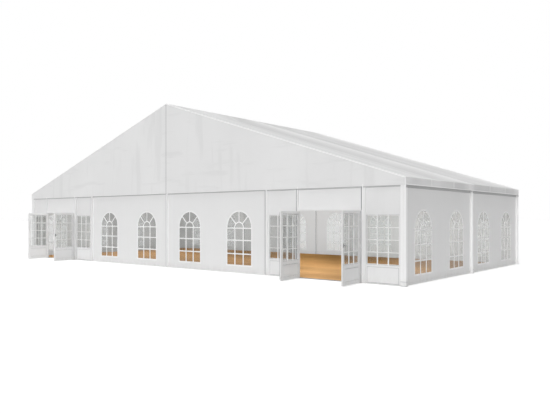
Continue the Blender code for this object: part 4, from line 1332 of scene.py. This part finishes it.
def doorFrame(door, bayMiddle, bold):   # the near door's joints, right hinge guard and head line are dark, painted shadow lines, and its jamb strip a painted highlight; the far door's are pale
    faint = "joint_seal" if bold else "wall_footing"
    plane = faceAt(-tent["halfLength"] - tent["profileHalf"], -1)
    left, right = bayMiddle - doorSettings["half"], bayMiddle + doorSettings["half"]
    overHead = doorSettings["head"] + doorSettings["overHead"]

    low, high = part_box(door + "_transom")
    inset = doorSettings["capInset"]
    capLine = level(low.z + doorSettings["capRise"], low.x + inset, high.x - inset)
    cap = layStrips([capLine], doorSettings["cap"], plane, "door_head")
    settle(door + "_header_cap", [cap], "white_metal")

    leftJoint, rightJoint = left - doorSettings["jointPlaces"][0], right + doorSettings["jointPlaces"][1]
    foot, top = doorSettings["jointSpan"]
    joints = (([upright(leftJoint, foot, top), upright(rightJoint, overHead, top)], faint),
              ([upright(rightJoint, foot, overHead)], "wall_footing"))
    seals = [layStrips(paths, doorSettings["joint"], plane, finish) for paths, finish in joints]
    settle(door + "_joint_shadow_seals", seals, "dark_handle")

    # a grey rail under the gable band across the door bay; its grey is partly painted shade
    rightEnd = doorSettings["topRailHalf"] - (doorSettings["topRailCut"] if bold else 0.0)
    rail = level(doorSettings["topRailHeight"], bayMiddle - doorSettings["topRailHalf"], bayMiddle + rightEnd)
    railFace = faceAt(-tent["halfLength"] - doorSettings["panelHalf"], -1)
    topRail = layStrips([rail], doorSettings["topRail"], railFace, "wall_rail")
    settle(door + "_top_rail", [topRail], "bare_metal")
    hingeGuards(door, bayMiddle, "profile_groove" if bold else "wall_footing")

    # a white strip down the right jamb, a painted highlight against the leaf's shade
    highlightLine = upright(right + doorSettings["coverPlace"], *doorSettings["coverSpan"])
    highlightFinish = "white_coat_upright" if bold else "door_head"
    cover = layStrips([highlightLine], doorSettings["cover"], plane, highlightFinish)
    settle(door + "_jamb_highlight", [cover], "white_metal")
    if bold:
        # a dark line down the right jamb above the head, painted shadow in the gap
        sealLine = upright(right - doorSettings["headSealInset"], overHead, doorSettings["headSealTop"])
        headSeal = layStrips([sealLine], doorSettings["headSeal"], plane, "joint_seal")
        settle(door + "_head_seal", [headSeal], "dark_handle")

    half, lift = doorSettings["thresholdHalf"], doorSettings["thresholdLift"]
    sill = level(doorSettings["thresholdY"], bayMiddle - half, bayMiddle + half)
    threshold = layStrips([sill], doorSettings["threshold"], lambda u, v, depth: Vector((u, v, lift - depth)),
                          "mill_aluminium")
    settle(door + "_threshold", [threshold], "bare_metal")


# Lever handles: a rounded plate and a bent lever on both faces of each right leaf
handleSettings = {
    "height": 1.15, "inset": 0.05, "plate": (0.036, 0.12, 0.007), "plateSteps": 24, "plateEdge": (0.65, 0.86),
    "stand": 0.042, "lever": 0.115, "radius": 0.0085, "sides": 14, "oval": 1.15,
    "bend": 0.014, "base": 0.005, "rise": 0.010, "over": 0.001, "drop": 0.003, "bow": 0.004,
    "flare": 1.5, "tip": 0.7,
}


def handlePlate():
    width, tall, thick = handleSettings["plate"]
    steps, (edge, shrink) = handleSettings["plateSteps"], handleSettings["plateEdge"]
    outline = []
    for k in range(steps):
        angle = 2 * math.pi * (k + 0.5) / steps
        end = math.copysign(0.5 * tall - 0.5 * width, math.sin(angle))
        outline.append((0.5 * width * math.cos(angle), end + 0.5 * width * math.sin(angle)))
    return [[(u * scale, depth, v * (1 - (1 - scale) * 0.2)) for u, v in outline]
            for depth, scale in ((0.0, 1.0), (thick * edge, 1.0), (thick, shrink))]


def handleTube():
    stand, lever, bend, base = (handleSettings[key] for key in ("stand", "lever", "bend", "base"))
    radius, sides, rise = (handleSettings[key] for key in ("radius", "sides", "rise"))
    top = stand + handleSettings["over"]
    path = [(0, base + (stand - bend) * k / 4, 0) for k in range(5)]
    for k in range(1, 6):
        turn = math.pi / 2 * k / 5
        path.append((bend * (1 - math.cos(turn)), top - rise * (1 - math.sin(turn)), 0))
    for part in (k / 6 for k in range(1, 7)):
        bowed = top - handleSettings["bow"] * part ** 2
        path.append((bend + (lever - bend) * part, bowed, -handleSettings["drop"] * part))
    radii = [radius * handleSettings["flare"]] + [radius] * (len(path) - 2) + [radius * handleSettings["tip"]]
    rings = []
    for k, (point, size) in enumerate(zip(path, radii)):
        ahead = Vector(path[min(k + 1, len(path) - 1)]) - Vector(path[max(k - 1, 0)])
        first = ahead.normalized().cross(Vector((0, 0, 1))).normalized()
        second = ahead.normalized().cross(first) * handleSettings["oval"]
        turns = [2 * math.pi * s / sides for s in range(sides)]
        rings.append([Vector(point) + (first * math.cos(turn) + second * math.sin(turn)) * size
                      for turn in turns])
    return rings


def leverHandle(key, turned):
    edge = handleSettings["inset"] - leafSettings["reach"]
    pieces = []
    for out, face in zip((-1, 1), leafSettings["faces"]):
        for rings in (handlePlate(), handleTube()):
            placed = [[turned((edge + x, face + out * y, handleSettings["height"] + z)) for x, y, z in ring]
                      for ring in rings]
            pieces.append(loft(placed, "handle_coat", 40))
    settle(key + "_lever", pieces, "dark_handle", key + "_leaf_body", (key + "_handle",))


def leafPieces(door, hand, bayMiddle, bold):
    key, sign = f"{door}_{hand}", 1 if hand == "left" else -1
    body = key + "_leaf_body"
    hinge = bayMiddle - sign * (doorSettings["half"] - doorSettings["axisInset"])
    axis = Vector((hinge, doorSettings["axisY"], 0))
    swing = Matrix.Rotation(math.radians(-sign * doorSettings["angles"][key]), 3, "Z")

    def turned(point):
        return axis + swing @ Vector(point)

    outerY, innerY = leafSettings["faces"]
    middleY, paneHalf, sunk = 0.5 * (outerY + innerY), doorSettings["paneHalf"], leafSettings["sunk"]
    low, high = sorted(sign * x for x in leafSettings["infillX"])
    glassFaces = bothFaces(middleY - paneHalf, middleY + paneHalf, turned)
    glazingPieces(key + "_leaf", (low, high, *leafSettings["glassZ"]), glassFaces, body)
    grow, (foot, top) = mouldingSettings["leafGrow"], leafSettings["panelZ"]
    # the near door's leaves take the shaded copy of the white and a bolder painted shadow line, the far
    # door's the lit copy and a fainter one
    finish, shadowWidth = ("door_leaf", 0.010) if bold else ("pale_door_leaf", 0.005)
    mouldingPieces(key + "_leaf", (low - grow, high + grow, foot - grow, top + grow),
                   bothFaces(outerY + sunk, innerY - sunk, turned), finish, **mouldingSettings["leafPanel"],
                   shadowWidth=shadowWidth, body=body)
    if hand == "left":   # rubber down the meeting edge, dark on the near door as painted shade and pale on the far door
        edge = leafSettings["reach"] - 0.5 * leafSettings["edgeSeal"][0]
        seal = layStrips([upright(edge, *leafSettings["edgeSealSpan"])], leafSettings["edgeSeal"],
                         faceAt(outerY, -1, turned), "joint_seal" if bold else "wall_footing")
        settle(key + "_leaf_edge_seal", [seal], "dark_handle", body)
    else:
        leverHandle(key, turned)
    spots = [(turned((sign * u, outerY, height + lift)), swing @ Vector((0, -1, 0)))
             for height in leafSettings["screwHeights"] for lift in leafSettings["screwLifts"]
             for u in leafSettings["screwPlaces"]]
    placeFixings(key + "_hinge_screws", spots, leafSettings["screw"], "zinc_steel", "bare_metal", body,
                 leafSettings["screwSides"])


for door, side in (("left_door", -1), ("right_door", 1)):
    bayMiddle, bold = side * doorSettings["middle"], side > 0
    doorFrame(door, bayMiddle, bold)
    for hand in ("left", "right"):
        sidePanel(door, hand)
        leafPieces(door, hand, bayMiddle, bold)
print("door bays, leaves and lever handles")

# Floor boards in rows with staggered joints
floorSettings = {
    "halfX": 9.9147, "halfY": 4.9497, "top": 0.030, "width": 0.1904, "length": 2.4787, "gap": 0.0025,
    "thick": 0.0285, "sunk": 0.0002, "round": 0.002, "seed": 11,
}
halfX, halfY, gap, thick = (floorSettings[key] for key in ("halfX", "halfY", "gap", "thick"))
rowCount = round(2 * halfY / floorSettings["width"])
rowStep = 2 * halfY / rowCount
perRow = round(2 * halfX / floorSettings["length"])
boardStep = 2 * halfX / perRow
floorHeight = floorSettings["top"] - 0.5 * thick - floorSettings["sunk"]
fullBoards, halfBoards = [], []
for row in range(rowCount):
    y = -halfY + (row + 0.5) * rowStep
    if row % 2:
        halfBoards += [(side * (halfX - 0.25 * boardStep), y, floorHeight) for side in (-1, 1)]
        fullBoards += [(-halfX + boardStep * k, y, floorHeight) for k in range(1, perRow)]
    else:
        fullBoards += [(-halfX + boardStep * (k + 0.5), y, floorHeight) for k in range(perRow)]
boards = []
for spots, length in ((fullBoards, boardStep), (halfBoards, 0.5 * boardStep)):
    obj = newObject("boards", spots)
    runTree(obj, boardTree, {
        "Board Length": length - gap, "Board Width": rowStep - gap, "Board Thickness": thick,
        "Round": floorSettings["round"], "Seed": floorSettings["seed"], "Finish": finishes["floor_boards"]})
    smooth(obj)
    boards.append(obj)
settle("floor_boards", boards, "floor_wood", replaced=("floor",))
print("floor:", len(fullBoards) + len(halfBoards), "boards")

# Better finishes for the solids that stay
slotFinish = {
    "white_metal": "white_coat_upright", "bare_metal": "mill_aluminium", "clear_pane": "clear_pane",
    "clear_film": "clear_pane", "white_panel": "door_panel", "dark_handle": "handle_coat",
}
endlongWords = ("rafters", "purlin", "rail")
# panes that take the clearer copy, painted light for the brighter hall behind them
lightPaintedPanes = ("left_door_left_leaf_pane", "left_door_right_leaf_pane", "right_door_right_pane")


def solidFinish(name, slot):
    chosen = slotFinish.get(slot, "white_coat_upright")
    if name in lightPaintedPanes:
        return "bright_pane"
    if chosen == "white_coat_upright" and any(word in name for word in endlongWords):
        return "white_coat_long"
    # the leaves take a shaded or a lit copy of the white: painted shade on the near door, painted light on
    # the far one
    if chosen == "door_panel" and name.endswith("_leaf"):
        return "pale_door_leaf" if name.startswith("left_door") else "door_leaf"
    if chosen == "door_panel" and name.endswith("_transom"):
        return "door_head"
    return chosen


for name, node in nodes.items():
    if not node.hide_render:
        for place in node.material_slots:
            slot = place.material.name.split(".")[0] if place.material else "white_metal"
            place.material = finishes[solidFinish(name, slot)]
print("carried solids finished")
